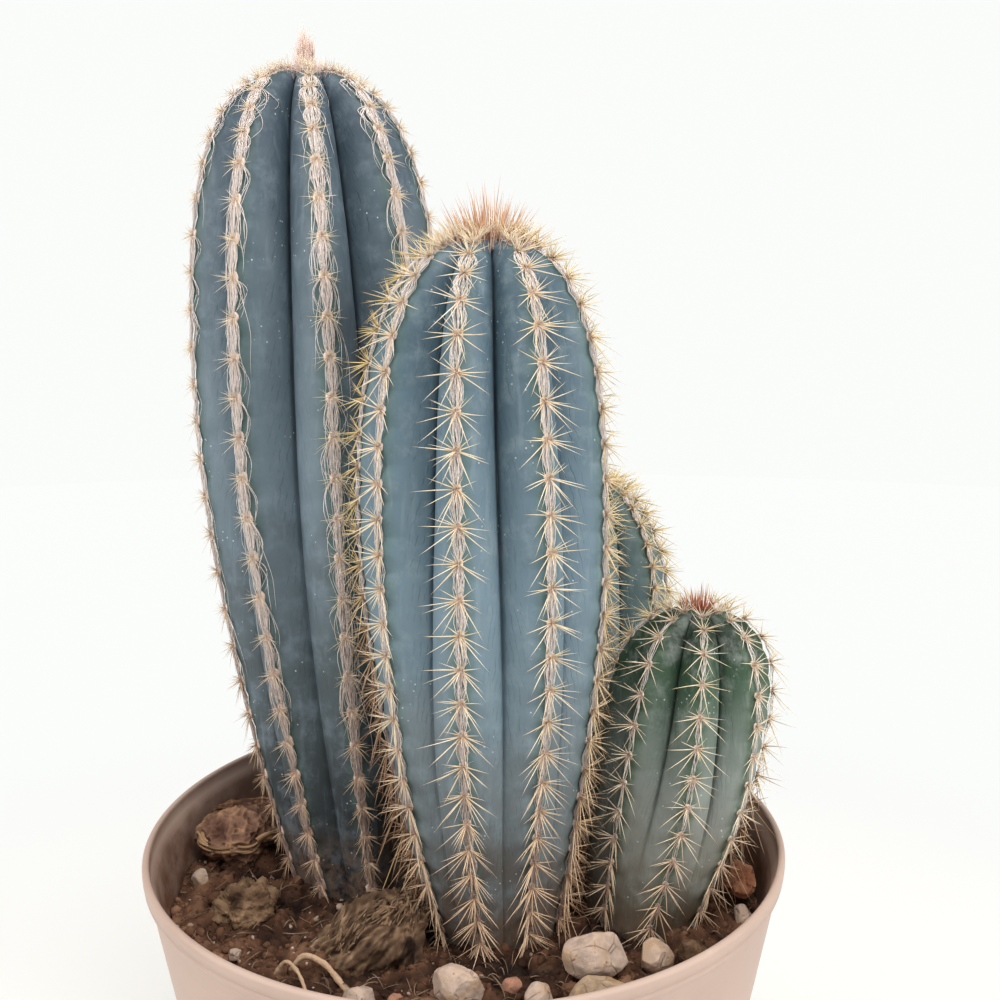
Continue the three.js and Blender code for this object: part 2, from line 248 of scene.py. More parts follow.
def strands(name, paths, radius, material, slot, tone, sides=4, taper=1.0, extra=None):
    """Thin tapering tubes, all in one mesh. paths is (strands, points, 3), and the last point of
    each is its tip. The attribute "along" runs from 0 at the root to 1 at the tip, and tone and
    the extra attributes have one value for each strand."""
    count, steps, _ = paths.shape
    extra = extra or {}
    pieces = math.ceil(count * (2 * sides * (steps - 1) - 2) / MOST_TRIANGLES)
    if pieces > 1:
        for number, rows in enumerate(np.array_split(np.arange(count), pieces), 1):
            chosen = {label: values[rows] for label, values in extra.items()}
            strands(f"{name}_{number}", paths[rows], radius[rows], material, slot, tone[rows],
                    sides, taper, chosen)
        return
    thinnest = 0.06
    tangent = unit(np.gradient(paths, axis=1))
    upright = np.abs(tangent[:, 0, 2]) > 0.8
    helper = np.where(upright[:, None], [1.0, 0.0, 0.0], [0.0, 0.0, 1.0])
    side_a = unit(np.cross(tangent, helper[:, None, :]))[:, :-1, None, :]
    side_b = np.cross(tangent[:, :-1, None, :], side_a)
    along = np.linspace(0, 1, steps)
    width = radius[:, None] * np.maximum(1 - along ** 1.3 * taper, thinnest)
    angle = (np.arange(sides) * TAU / sides)[:, None]
    ring = side_a * np.cos(angle) + side_b * np.sin(angle)
    body = paths[:, :-1, None, :] + ring * width[:, :-1, None, None]
    points = np.concatenate([body.reshape(count, -1, 3), paths[:, -1:, :]], axis=1)
    per_strand = points.shape[1]
    cap = [[0, 2, 1]] if sides == 3 else [[0, 2, 1], [0, 3, 2]]
    pattern = np.concatenate([ring_faces(steps - 1, sides, high_pole=per_strand - 1), cap])
    attributes = {"along": np.tile(np.append(np.repeat(along[:-1], sides), 1.0), count)}
    for label, values in {"tone": tone, **extra}.items():
        attributes[label] = np.repeat(values, per_strand)
    mesh_object(name, points.reshape(-1, 3), repeated(pattern, count, per_strand), material,
                attributes=attributes)


def ball(detail):
    """Points and triangles of a unit ball made from an icosahedron."""
    built = bmesh.new()
    bmesh.ops.create_icosphere(built, subdivisions=detail, radius=1)
    points = np.array([v.co[:] for v in built.verts])
    faces = np.array([[v.index for v in f.verts] for f in built.faces])
    built.free()
    return points, faces


def lumps(name, centres, sizes, material, tone, detail):
    """Many small irregular lumps in one mesh, each turned and dented in its own way."""
    shape, pattern = ball(detail)
    count = len(centres)
    turned = unit(rng.normal(size=(count, 3, 3)))
    first = turned[:, 0]
    second = unit(np.cross(first, turned[:, 1]))
    basis = np.stack([first, second, np.cross(first, second)], 1)
    dents = 1 + 0.2 * rng.uniform(-1, 1, size=(count, len(shape), 1))
    local = shape * dents * sizes[:, None, :]
    points = np.einsum("nij,njk->nik", local, basis) + centres[:, None, :]
    mesh_object(name, points.reshape(-1, 3), repeated(pattern, count, len(shape)), material,
                smooth=detail > 1, attributes={"tone": np.repeat(tone, len(shape))})


# ---- Materials ----

class Shader:
    """A material whose nodes are added one after another. colour is what it has been given so far."""

    def __init__(self, name, specular):
        self.material = bpy.data.materials.new(name)
        self.material.use_nodes = True
        self.tree = self.material.node_tree
        self.surface = self.tree.nodes["Principled BSDF"]
        self.surface.inputs["Specular IOR Level"].default_value = specular

    def plug(self, value, socket):
        if isinstance(value, bpy.types.NodeSocket):
            self.tree.links.new(value, socket)
        else:
            socket.default_value = value

    def place(self, squash=(1, 1, 1)):
        """The point on the surface in millimetres, squashed for stretched patterns."""
        coordinates = self.tree.nodes.new("ShaderNodeTexCoord")
        mapping = self.tree.nodes.new("ShaderNodeMapping")
        mapping.inputs["Scale"].default_value = [part / MM for part in squash]
        self.tree.links.new(coordinates.outputs["Object"], mapping.inputs["Vector"])
        return mapping.outputs["Vector"]

    def attribute(self, label):
        node = self.tree.nodes.new("ShaderNodeAttribute")
        node.attribute_name = label
        return node.outputs["Fac"]

    def noise(self, size, detail=3, squash=(1, 1, 1), harsh=0.5, distortion=0.0):
        node = self.tree.nodes.new("ShaderNodeTexNoise")
        self.tree.links.new(self.place(squash), node.inputs["Vector"])
        node.inputs["Scale"].default_value = 1 / size
        node.inputs["Detail"].default_value = detail
        node.inputs["Roughness"].default_value = harsh
        node.inputs["Distortion"].default_value = distortion
        return node.outputs["Fac"]

    def cells(self, size, feature="F1"):
        node = self.tree.nodes.new("ShaderNodeTexVoronoi")
        node.feature = feature
        self.tree.links.new(self.place(), node.inputs["Vector"])
        node.inputs["Scale"].default_value = 1 / size
        return node.outputs["Distance"]

    def math(self, operation, *values):
        node = self.tree.nodes.new("ShaderNodeMath")
        node.operation = operation
        for value, socket in zip(values, node.inputs):
            self.plug(value, socket)
        return node.outputs[0]

    def times(self, first, second):
        return self.math("MULTIPLY", first, second)

    def minus(self, first, second):
        return self.math("SUBTRACT", first, second)

    def between(self, value, low, high, out_low=0.0, out_high=1.0):
        """Maps low to high onto out_low to out_high, smoothly and no further."""
        node = self.tree.nodes.new("ShaderNodeMapRange")
        node.interpolation_type = "SMOOTHSTEP"
        for part, socket in zip((value, low, high, out_low, out_high), node.inputs):
            self.plug(part, socket)
        return node.outputs[0]

    def ramp(self, value, stops):
        node = self.tree.nodes.new("ShaderNodeValToRGB")
        elements = node.color_ramp.elements
        while len(elements) < len(stops):
            elements.new(0.5)
        for element, (position, colour) in zip(elements, stops):
            element.position = position
            element.color = (*colour, 1)
        self.plug(value, node.inputs["Fac"])
        return node.outputs["Color"]

    def mix(self, factor, first, second):
        node = self.tree.nodes.new("ShaderNodeMix")
        node.data_type = "RGBA"
        self.plug(factor, node.inputs[0])
        for colour, socket in ((first, node.inputs[6]), (second, node.inputs[7])):
            if isinstance(colour, tuple):
                colour = (*colour, 1)
            self.plug(colour, socket)
        return node.outputs[2]

    def coat(self, factor, colour):
        """Covers the colour so far with another, by the factor."""
        self.colour = self.mix(factor, self.colour, colour)

    def bump(self, height, strength, depth):
        """Adds relief of depth millimetres to any already there."""
        node = self.tree.nodes.new("ShaderNodeBump")
        node.inputs["Strength"].default_value = strength
        node.inputs["Distance"].default_value = depth * MM
        self.plug(height, node.inputs["Height"])
        linked = self.surface.inputs["Normal"].links
        if linked:
            self.tree.links.new(linked[0].from_socket, node.inputs["Normal"])
        self.tree.links.new(node.outputs["Normal"], self.surface.inputs["Normal"])

    def finish(self, roughness):
        self.plug(self.colour, self.surface.inputs["Base Color"])
        self.plug(roughness, self.surface.inputs["Roughness"])
        return self.material


def skin_material(name, bands, green, furrow_shade, pale):
    """Waxy skin: a grey-blue bloom, painted shade in the creases, greener crests, fine slanting
    veins and pale specks. bands are its colours up the column."""
    shader = Shader(name, 0.35)
    rise = shader.attribute("rise")
    off_crest = shader.attribute("off_crest")
    patches = shader.noise(9, 3)
    fine = shader.noise(1.3, 4, harsh=0.6)
    waver = shader.times(shader.minus(patches, 0.5), 0.3)
    shader.colour = shader.ramp(shader.math("ADD", rise, waver), bands)
    bloom = shader.between(shader.noise(4.5, 5, harsh=0.65), 0.45, 0.72, 0.0, 0.5)
    shader.coat(bloom, pale)
    near_crest = shader.between(off_crest, 0.1, 0.42, 0.8, 0.0)
    greener = shader.times(near_crest, shader.between(fine, 0.35, 0.65, 0.5, 1.0))
    shader.coat(greener, green)
    # Painted shade: the creases of the furrows darken, more and more towards the tip, where the ribs
    # shade them.
    in_furrow = shader.between(off_crest, 0.9, 1.0)
    shade = shader.times(in_furrow, shader.between(rise, 0.15, 0.75, 0.0, 0.95))
    shader.coat(shade, furrow_shade)
    slant = shader.minus(off_crest, shader.attribute("slant"))
    wander = shader.times(shader.noise(2.6, 3), 0.16)
    comb = shader.math("FRACT", shader.times(shader.math("ADD", slant, wander), 8.0))
    off_vein = shader.math("ABSOLUTE", shader.minus(comb, 0.5))
    vein = shader.between(off_vein, 0.0, 0.13, 1.0, 0.0)
    flank = shader.between(off_crest, 0.4, 0.7)
    broken = shader.between(shader.noise(2.2, 3), 0.42, 0.6)
    vein = shader.times(vein, shader.times(flank, broken))
    shader.coat(shader.times(vein, 0.32), furrow_shade)
    streak = shader.noise(0.8, 4, squash=(1, 1, 0.16), harsh=0.65)
    shader.coat(shader.between(streak, 0.54, 0.8, 0.0, 0.1), furrow_shade)
    light_streak = shader.noise(1.4, 3, squash=(1, 1, 0.14))
    shader.coat(shader.between(light_streak, 0.52, 0.74, 0.0, 0.3), pale)
    dots = shader.cells(1.1)
    chosen = shader.between(shader.noise(7, 3), 0.56, 0.6)
    speck = shader.times(shader.between(dots, 0.1, 0.17, 1.0, 0.0), chosen)
    shader.coat(shader.times(speck, 0.8), (0.50, 0.58, 0.60))
    near_soil = shader.between(rise, 0.0, 0.11, 0.75, 0.0)
    shader.coat(shader.times(near_soil, shader.between(fine, 0.3, 0.6)), (0.17, 0.115, 0.08))
    shader.bump(fine, 0.3, 0.12)
    shader.bump(vein, 0.3, -0.12)
    shader.bump(streak, 0.08, 0.1)
    shader.bump(speck, 0.4, 0.1)
    return shader.finish(shader.between(patches, 0.3, 0.7, 0.46, 0.66))


def fibre_material(name, root, middle, tip, dark, roughness, spread, warm=None, old=None):
    """Spines, hairs and roots: the colour runs from root to tip and differs from one to the next.
    Where the attribute "warm" is high it turns to the warm colour, and where "age" is, to old."""
    shader = Shader(name, 0.3)
    stops = [(0.0, root), (0.3, middle), (0.8, middle), (1.0, tip)]
    shader.colour = shader.ramp(shader.attribute("along"), stops)
    if warm:
        shader.coat(shader.attribute("warm"), warm)
    tone = shader.attribute("tone")
    shader.coat(shader.between(tone, 0.4, 1.0, 0.0, spread), dark)
    if old:
        brown = (0.27, 0.12, 0.058)
        browner = shader.mix(shader.between(tone, 0.5, 0.95, 0.0, 0.95), old, brown)
        shader.coat(shader.attribute("age"), browner)
    mottled = shader.noise(0.9, 3)
    darker = tuple(part * 0.7 for part in middle)
    shader.coat(shader.between(mottled, 0.4, 0.75, 0.0, 0.3), darker)
    shader.bump(mottled, 0.3, 0.05)
    return shader.finish(shader.between(mottled, 0.3, 0.7, roughness - 0.1, roughness + 0.15))


def grain_material(name, stops, size):
    """Crumbly matter whose colour differs from grain to grain."""
    shader = Shader(name, 0.2)
    mottled = shader.noise(size, 5, harsh=0.65)
    spots = shader.times(shader.minus(mottled, 0.5), 0.35)
    shader.colour = shader.ramp(shader.math("ADD", shader.attribute("tone"), spots), stops)
    dust = shader.between(shader.noise(size * 3, 3), 0.5, 0.8, 0.0, 0.16)
    shader.coat(dust, (0.27, 0.17, 0.10))
    shader.bump(mottled, 0.6, size * 0.25)
    return shader.finish(shader.between(mottled, 0.3, 0.7, 0.80, 0.98))


def stone_material(name, pale, stain, dark):
    """A worn stone: chalky ground, stains, cracks, pits and patches of dirt."""
    size = 2.2
    shader = Shader(name, 0.25)
    ground = shader.noise(size, 6, harsh=0.62)
    stains = shader.noise(size * 2.4, 4, distortion=0.6)
    darker = tuple(part * 0.74 for part in pale)
    shader.colour = shader.mix(shader.between(ground, 0.35, 0.62), darker, pale)
    shader.coat(shader.between(stains, 0.5, 0.66, 0.0, 0.6), stain)
    off_crack = shader.cells(size * 2.2, "DISTANCE_TO_EDGE")
    crack = shader.between(off_crack, 0.0, 0.035, 1.0, 0.0)
    crack = shader.times(crack, shader.between(shader.noise(size * 1.5, 3), 0.45, 0.6))
    shader.coat(shader.times(crack, 0.6), dark)
    pits = shader.between(shader.cells(size * 0.4), 0.1, 0.3, 1.0, 0.0)
    pits = shader.times(pits, shader.between(shader.noise(size, 2), 0.52, 0.62))
    shader.coat(shader.times(pits, 0.6), dark)
    dirt = shader.between(shader.noise(size * 1.3, 5, harsh=0.7), 0.56, 0.76, 0.0, 0.55)
    shader.coat(dirt, dark)
    shader.bump(ground, 0.8, 0.5)
    shader.bump(pits, 0.5, -0.3)
    shader.bump(crack, 0.6, -0.3)
    return shader.finish(shader.between(ground, 0.3, 0.7, 0.74, 0.95))


def bark_material(name, light, dark, edge):
    """Dry bark: layered grain along the flake, with paler broken edges."""
    shader = Shader(name, 0.2)
    grain = shader.noise(1.2, 5, squash=(0.35, 1.6, 1.6), harsh=0.65)
    patches = shader.noise(5, 4)
    shader.colour = shader.mix(shader.between(grain, 0.38, 0.64), dark, light)
    shader.coat(shader.between(patches, 0.52, 0.7, 0.0, 0.6), edge)
    shader.bump(grain, 0.9, 0.5)
    shader.bump(shader.noise(0.5, 4), 0.4, 0.15)
    return shader.finish(shader.between(grain, 0.3, 0.7, 0.8, 0.97))


def pot_material():
    """Moulded matt plastic, a little mottled, scuffed and dusty, with painted shade, tinted brown, on
    the inner wall.
    """
    shader = Shader("pot_plastic", 0.4)
    mottled = shader.noise(22, 4)
    fine = shader.noise(0.5, 3)
    dull, bright = (0.42, 0.300, 0.245), (0.475, 0.350, 0.290)
    shader.colour = shader.mix(shader.between(mottled, 0.3, 0.7), dull, bright)
    scuffs = shader.noise(2.4, 6, squash=(0.3, 0.3, 2.2), harsh=0.7)
    shader.coat(shader.between(scuffs, 0.58, 0.78, 0.0, 0.35), (0.62, 0.50, 0.43))
    dust = shader.between(shader.noise(3.5, 5, harsh=0.7), 0.6, 0.8, 0.0, 0.3)
    shader.coat(dust, (0.32, 0.22, 0.17))
    # Painted shade on the inner wall, patchy and tinted brown as by light off the soil.
    patchy_shade = shader.between(shader.noise(6, 5, harsh=0.65), 0.3, 0.7, 0.55, 1.0)
    inside = shader.times(shader.attribute("inside"), patchy_shade)
    shader.coat(inside, (0.115, 0.046, 0.022))
    shader.bump(fine, 0.12, 0.06)
    shader.bump(shader.noise(14, 2), 0.25, 0.25)
    return shader.finish(shader.between(mottled, 0.3, 0.7, 0.42, 0.58))


# ---- The stage ----

def make_camera():
    """The photograph's view: close to the plant, a little above the pot and looking slightly down."""
    lens = bpy.data.cameras.new("camera")
    lens.sensor_width = 36
    lens.lens = 36
    lens.clip_start = 0.005
    camera = in_scene("camera", lens)
    camera.location = (0, -0.186, (POT_TOP + 87) * MM)
    camera.rotation_euler = (math.radians(90 - 7.6), 0, math.radians(-2))
    bpy.context.scene.camera = camera


def area_light(name, place, target, size, watts, colour):
    """A round lamp that faces its target. Places are in metres."""
    light = bpy.data.lights.new(name, "AREA")
    light.shape = "DISK"
    light.size = size
    light.energy = watts
    light.color = colour
    lamp = in_scene(name, light)
    lamp.location = place
    aim = np.array(target) - np.array(place)
    pitch = math.atan2(math.hypot(aim[0], aim[1]), -aim[2])
    lamp.rotation_euler = (pitch, 0, math.atan2(aim[1], aim[0]) - math.pi / 2)


def make_stage():
    white, near, far = (0.985, 1.0, 0.985), 90, 340
    world = bpy.data.worlds.new("studio")
    world.use_nodes = True
    bpy.context.scene.world = world
    tree = world.node_tree
    background = tree.nodes["Background"]
    background.inputs["Color"].default_value = (*white, 1)
    seen = tree.nodes.new("ShaderNodeLightPath")
    strength = tree.nodes.new("ShaderNodeMapRange")
    strength.inputs["To Min"].default_value = 0.34
    strength.inputs["To Max"].default_value = 0.975
    tree.links.new(seen.outputs["Is Camera Ray"], strength.inputs["Value"])
    tree.links.new(strength.outputs["Result"], background.inputs["Strength"])
    warm = (1.0, 0.97, 0.94)
    area_light("light_left", (-0.52, -0.22, 0.36), (0, 0, 0.13), 0.45, 2.6, warm)
    area_light("light_right", (0.5, -0.3, 0.34), (0, 0, 0.12), 0.45, 3.0, warm)
    area_light("light_top", (0.02, -0.25, 0.7), (0, 0, 0.1), 0.4, 3.0, (1.0, 0.98, 0.95))

    shader = Shader("floor", 0.1)
    length = shader.tree.nodes.new("ShaderNodeVectorMath")
    length.operation = "LENGTH"
    shader.tree.links.new(shader.place(), length.inputs[0])
    distance = length.outputs["Value"]
    shader.plug((*white, 1), shader.surface.inputs["Emission Color"])
    glow = shader.between(distance, near, far, 0.1, 0.975)
    shader.plug(glow, shader.surface.inputs["Emission Strength"])
    fade = shader.between(distance, near, far)
    shader.colour = shader.mix(fade, (0.86, 0.85, 0.83), (0.0, 0.0, 0.0))
    shader.finish(0.85)
    sides = 64
    mesh = mesh_from("floor", circle(1500, 0, sides), [list(range(sides))])
    mesh.materials.append(shader.material)
    floor = in_scene("floor", mesh)


# ---- The pot ----

def outer_wall(z):
    """The pot's radius at a height, below the lip."""
    return lerp(FOOT_RADIUS, RIM_RADIUS - LIP_STEP, z / (POT_TOP - LIP_HEIGHT))


def arc(centre, radius, start, end, steps):
    """Points on an arc, from one angle in degrees to the other."""
    angles = np.radians(np.linspace(start, end, steps))
    return [(centre[0] + radius * math.cos(a), centre[1] + radius * math.sin(a)) for a in angles]


def pot_outline():
    """Radius and height round the wall's section, from the middle of the foot round to the floor."""
    floor_top = FOOT_RECESS + WALL
    lip_foot = POT_TOP - LIP_HEIGHT
    half = WALL / 2
    ring_in = FOOT_RADIUS - 1 - FOOT_RING
    line = [(0, FOOT_RECESS), (ring_in * 0.5, FOOT_RECESS), (ring_in - 0.5, FOOT_RECESS)]
    line += arc((ring_in - 0.5, FOOT_RECESS - 0.5), 0.5, 90, 0, 4)
    line += arc((ring_in + 0.4, 0.4), 0.4, 180, 270, 4)
    line += arc((outer_wall(1) - 1.1, 1.0), 1.0, 270, 350, 6)
    line += [(outer_wall(z), z) for z in np.linspace(1.6, lip_foot - 1.6, 24)]
    for share in np.linspace(0, 1, 8):
        z = lip_foot - 1.2 + 1.9 * share
        line.append((lerp(outer_wall(z), RIM_RADIUS - 0.16, smoothstep(share, 0, 1)), z))
    line += [(RIM_RADIUS - 0.3, lip_foot + 0.95), (RIM_RADIUS - 0.3, lip_foot + 1.1),
             (RIM_RADIUS - 0.06, lip_foot + 1.35), (RIM_RADIUS, POT_TOP - 1.3)]
    line += arc((RIM_RADIUS - half, POT_TOP - half), half, 0, 180, 11)
    line += [(RIM_RADIUS - WALL - 0.15, lip_foot + 0.6),
             (outer_wall(lip_foot) - WALL, lip_foot - 0.4)]
    line += [(outer_wall(z) - WALL, z) for z in np.linspace(lip_foot - 1.2, floor_top + 1.4, 20)]
    line += arc((outer_wall(floor_top + 1) - WALL - 1.2, floor_top + 1.2), 1.2, -8, -90, 5)
    line += [(FOOT_RADIUS * 0.5, floor_top), (0, floor_top)]
    return line


def make_pot():
    sides = 256
    outline = pot_outline()
    rings = [circle(radius, height, sides) for radius, height in outline[1:-1]]
    points = np.concatenate(rings + [[[0, 0, outline[0][1]]], [[0, 0, outline[-1][1]]]])
    count = len(rings) * sides
    height = points[:, 2]
    inner = np.hypot(points[:, 0], points[:, 1]) < outer_wall(height) - WALL * 0.6
    inner &= height > FOOT_RECESS + 0.5
    # How strong the painted shade on the inner wall is: full deep in the pot, half as strong at the
    # rim.
    inside = inner * lerp(1.0, 0.5, smoothstep(height, POT_TOP - 9, POT_TOP - 0.5))
    pot = mesh_object("pot_shell", points, ring_faces(len(rings), sides, count, count + 1),
                      pot_material(), attributes={"inside": inside}, node="pot")
    for hole in range(DRAIN_HOLES):
        drill = drain_drill((hole + 0.5) * TAU / DRAIN_HOLES)
        cut = pot.modifiers.new("drain", "BOOLEAN")
        cut.operation = "DIFFERENCE"
        cut.solver = "EXACT"
        cut.object = drill
        cut_mesh = evaluated_mesh(pot)
        pot.modifiers.clear()
        pot.data = cut_mesh
        bpy.data.objects.remove(drill)
    pot.data.polygons.foreach_set("use_smooth", np.full(len(pot.data.polygons), True))


def drain_drill(angle):
    """A round cutter for the drain hole at this angle."""
    sides = 24
    centre = [DRAIN_CIRCLE * math.cos(angle), DRAIN_CIRCLE * math.sin(angle), 0]
    points = np.concatenate([circle(DRAIN_RADIUS, z, sides) + centre for z in (0.5, 5.0)])
    walls = [[i, (i + 1) % sides, sides + (i + 1) % sides, sides + i] for i in range(sides)]
    ends = [list(range(sides))[::-1], list(range(sides, 2 * sides))]
    return in_scene("drill", mesh_from("drill", points, walls + ends))


# ---- The columns ----

class Column:
    """A ribbed column's skin as a formula: a point for any share of the height and any angle."""

    FIRST_AREOLE = 0.35

    def __init__(self, name, facts):
        self.name = name
        self.facts = facts
        self.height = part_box(name)[1][2] / MM - facts["tuft"] - SOIL_LEVEL
        table = np.linspace(0, NEAR_TIP, 4000)
        radius = self.radius(table)
        run = np.hypot(np.gradient(table) * self.height, np.gradient(radius))
        spacing = np.interp(table, SPACING_AT, facts["spacing"])
        self.table = table
        self.count = np.cumsum(run / spacing)
        self.order = {"stem_tall": 1, "stem_front": 2, "stem_small": 3, "stem_back": 4}[name]

    def axis(self, share):
        share = np.maximum(share, 0)
        foot, bend, tip = (np.array(self.facts[key], float) for key in ("foot", "bend", "tip"))
        share = np.asarray(share)[..., None]
        return foot * (1 - share) ** 2 + 2 * bend * share * (1 - share) + tip * share ** 2

    def radius(self, share):
        facts = self.facts
        full = facts["full_radius"]
        left = np.clip(1 - np.maximum(share, 0) / facts["full_at"], 0, 1)
        growing = full - (full - facts["foot_radius"]) * left ** facts["swell"]
        to_tip = np.clip((share - facts["full_at"]) / (1 - facts["full_at"]), 0, 1)
        closing = full * (1 - to_tip ** facts["crown"]) ** (1 / facts["crown"])
        buried = 1 - 0.4 * smoothstep(-share, 0, 13 / self.height)
        return np.where(share < facts["full_at"], growing, closing) * buried

    def depth(self, share):
        """Depth of the furrows as a share of the radius."""
        low, high = self.facts["depth"]
        return lerp(low, high, smoothstep(share, 0.0, 0.95))

    def rib_offset(self, rib):
        """Areoles on neighbouring ribs stand in between each other."""
        return 0.5 * (rib % 2) + 0.13 * np.sin(3.1 * rib + self.order)

    def areoles(self, rib):
        """The areoles' shares of the height on one rib."""
        offset = self.rib_offset(rib)
        areoles = np.arange(int(self.count[-1] - offset))
        return np.interp(areoles + offset + self.FIRST_AREOLE, self.count, self.table)

    def point(self, share, turn):
        """turn is in ribs, counted from the first rib's crest."""
        facts = self.facts
        share, turn = np.broadcast_arrays(np.asarray(share, float), np.asarray(turn, float))
        rib = np.round(turn)
        off_crest = np.abs(turn - rib) * 2
        rounding = 0.24
        straight = ((np.sqrt(off_crest ** 2 + rounding ** 2) - rounding)
                    / (math.hypot(1, rounding) - rounding))
        pillow = 1 - (1 - np.minimum(off_crest, 1) ** 4) ** 0.5
        flank = 0.66 * straight + 0.34 * pillow
        reach = self.radius(share) * (1 - self.depth(share) * flank)
        offset = self.rib_offset(rib % facts["ribs"]) + self.FIRST_AREOLE
        swing = np.interp(share, self.table, self.count) - offset
        bump = np.abs(np.cos(math.pi * swing)) ** 0.7 - 0.6
        above = smoothstep(share, 0, 0.02) * (1 - smoothstep(share, 0.93, 0.99))
        reach = reach + 0.42 * bump * np.exp(-(off_crest / 0.42) ** 2) * above
        nominal = turn * TAU / facts["ribs"]
        uneven = 2 * np.cos(nominal) + 1.3 * np.sin(2 * nominal)
        wobble = np.radians(1.3) * np.sin(7 * share + uneven + self.order)
        angle = math.radians(facts["turn"]) + nominal + wobble
        reach = reach * (1 + 0.012 * np.sin(9 * share + 3 * np.cos(nominal + self.order)))
        centre = self.axis(share)
        x = centre[..., 0] + reach * np.sin(angle)
        y = centre[..., 1] - reach * np.cos(angle)
        return np.stack([x, y, SOIL_LEVEL + share * self.height], -1)

    def frame(self, share, rib):
        """At a crest: the point, and the directions up the rib, to its right and out of the skin."""
        step = 0.0015
        ahead = self.point(np.minimum(share + step, 0.9994), rib)
        up = unit(ahead - self.point(share - step, rib))
        angle = math.radians(self.facts["turn"]) + rib * TAU / self.facts["ribs"]
        radial = np.stack([np.sin(angle), -np.cos(angle), np.zeros_like(angle)], -1)
        out = unit(radial - up * np.sum(up * radial, -1, keepdims=True))
        return self.point(share, rib), up, unit(np.cross(up, out)), out

    def all_areoles(self):
        """Every areole: its share, rib, point and directions, as arrays."""
        parts = []
        for rib in range(self.facts["ribs"]):
            shares = self.areoles(rib)
            shares = shares[(shares > 0.004) & (shares < 0.9985)]
            here, up, right, out = self.frame(shares, np.full(len(shares), float(rib)))
            parts.append((shares, np.full(len(shares), rib), here, up, right, out))
        return [np.concatenate(column) for column in zip(*parts)]


def make_skin(column, material):
    """The column's skin, from its buried foot to its tip."""
    facts = column.facts
    half_rib = np.array([0, 0.05, 0.12, 0.21, 0.32, 0.44, 0.57, 0.70, 0.82, 0.91, 0.97])
    one_rib = np.concatenate([half_rib, [1], 2 - half_rib[:0:-1]]) / 2
    sides = facts["ribs"] * len(one_rib)
    rows = 330 if column.height > 100 else 190
    rise = np.sin(np.linspace(0, 1, rows) * math.pi / 2) ** 0.92 * 0.9992
    below = np.linspace(-BURIED / column.height, -1 / column.height, 6)
    shares = np.concatenate([below, rise])
    turn = (np.arange(facts["ribs"])[:, None] + one_rib).ravel()
    share, turn = (grid.ravel() for grid in np.meshgrid(shares, turn, indexing="ij"))
    skin = column.point(share, turn)
    axis = np.concatenate([column.axis(share), skin[:, 2:]], 1)
    skin += (rough(skin, 7, 3, column.order) * 0.1)[:, None] * unit(skin - axis)
    low = [*column.axis(0.0), SOIL_LEVEL - BURIED - 0.6]
    high = [*column.axis(1.0), SOIL_LEVEL + column.height]
    attributes = {
        "off_crest": np.append(np.abs(turn - np.round(turn)) * 2, [0, 0.5]),
        "rise": np.append(share, [0, 1]),
        "slant": np.append(share * column.height * 0.024, [0, 0]),
    }
    mesh_object(f"{column.name}_skin", np.concatenate([skin, [low, high]]),
                ring_faces(len(shares), sides, len(skin), len(skin) + 1), material,
                attributes=attributes, node=column.name)


def aim(up, right, out, turn, lift):
    """Unit directions: turn in degrees in the skin's plane from right towards up, lift off it."""
    turn = np.radians(turn)[..., None]
    lift = np.radians(lift)[..., None]
    flat = np.cos(turn) * right + np.sin(turn) * up
    return np.cos(lift) * flat + np.sin(lift) * out


def curved(start, direction, length, sag, steps):
    """Paths that leave start along direction and bend towards sag."""
    along = np.linspace(0, 1, steps)[None, :, None]
    reach = along * length[:, None, None]
    return start[:, None] + direction[:, None] * reach + sag[:, None] * along * reach


def ages(column, shares, ribs):
    """How golden and how weathered the spines are: golden on the ribs that don't face the front,
    weathered and browner towards the soil."""
    angle = math.radians(column.facts["turn"]) + ribs * TAU / column.facts["ribs"]
    sideways = smoothstep(1 - np.cos(angle), 0.35, 1.0)
    warm = np.clip(column.facts["golden"] * sideways + column.facts["gilt"], 0, 1)
    age = 0.9 * (1 - smoothstep(shares, 0.0, 0.5 + 0.25 * sideways))
    return warm, age


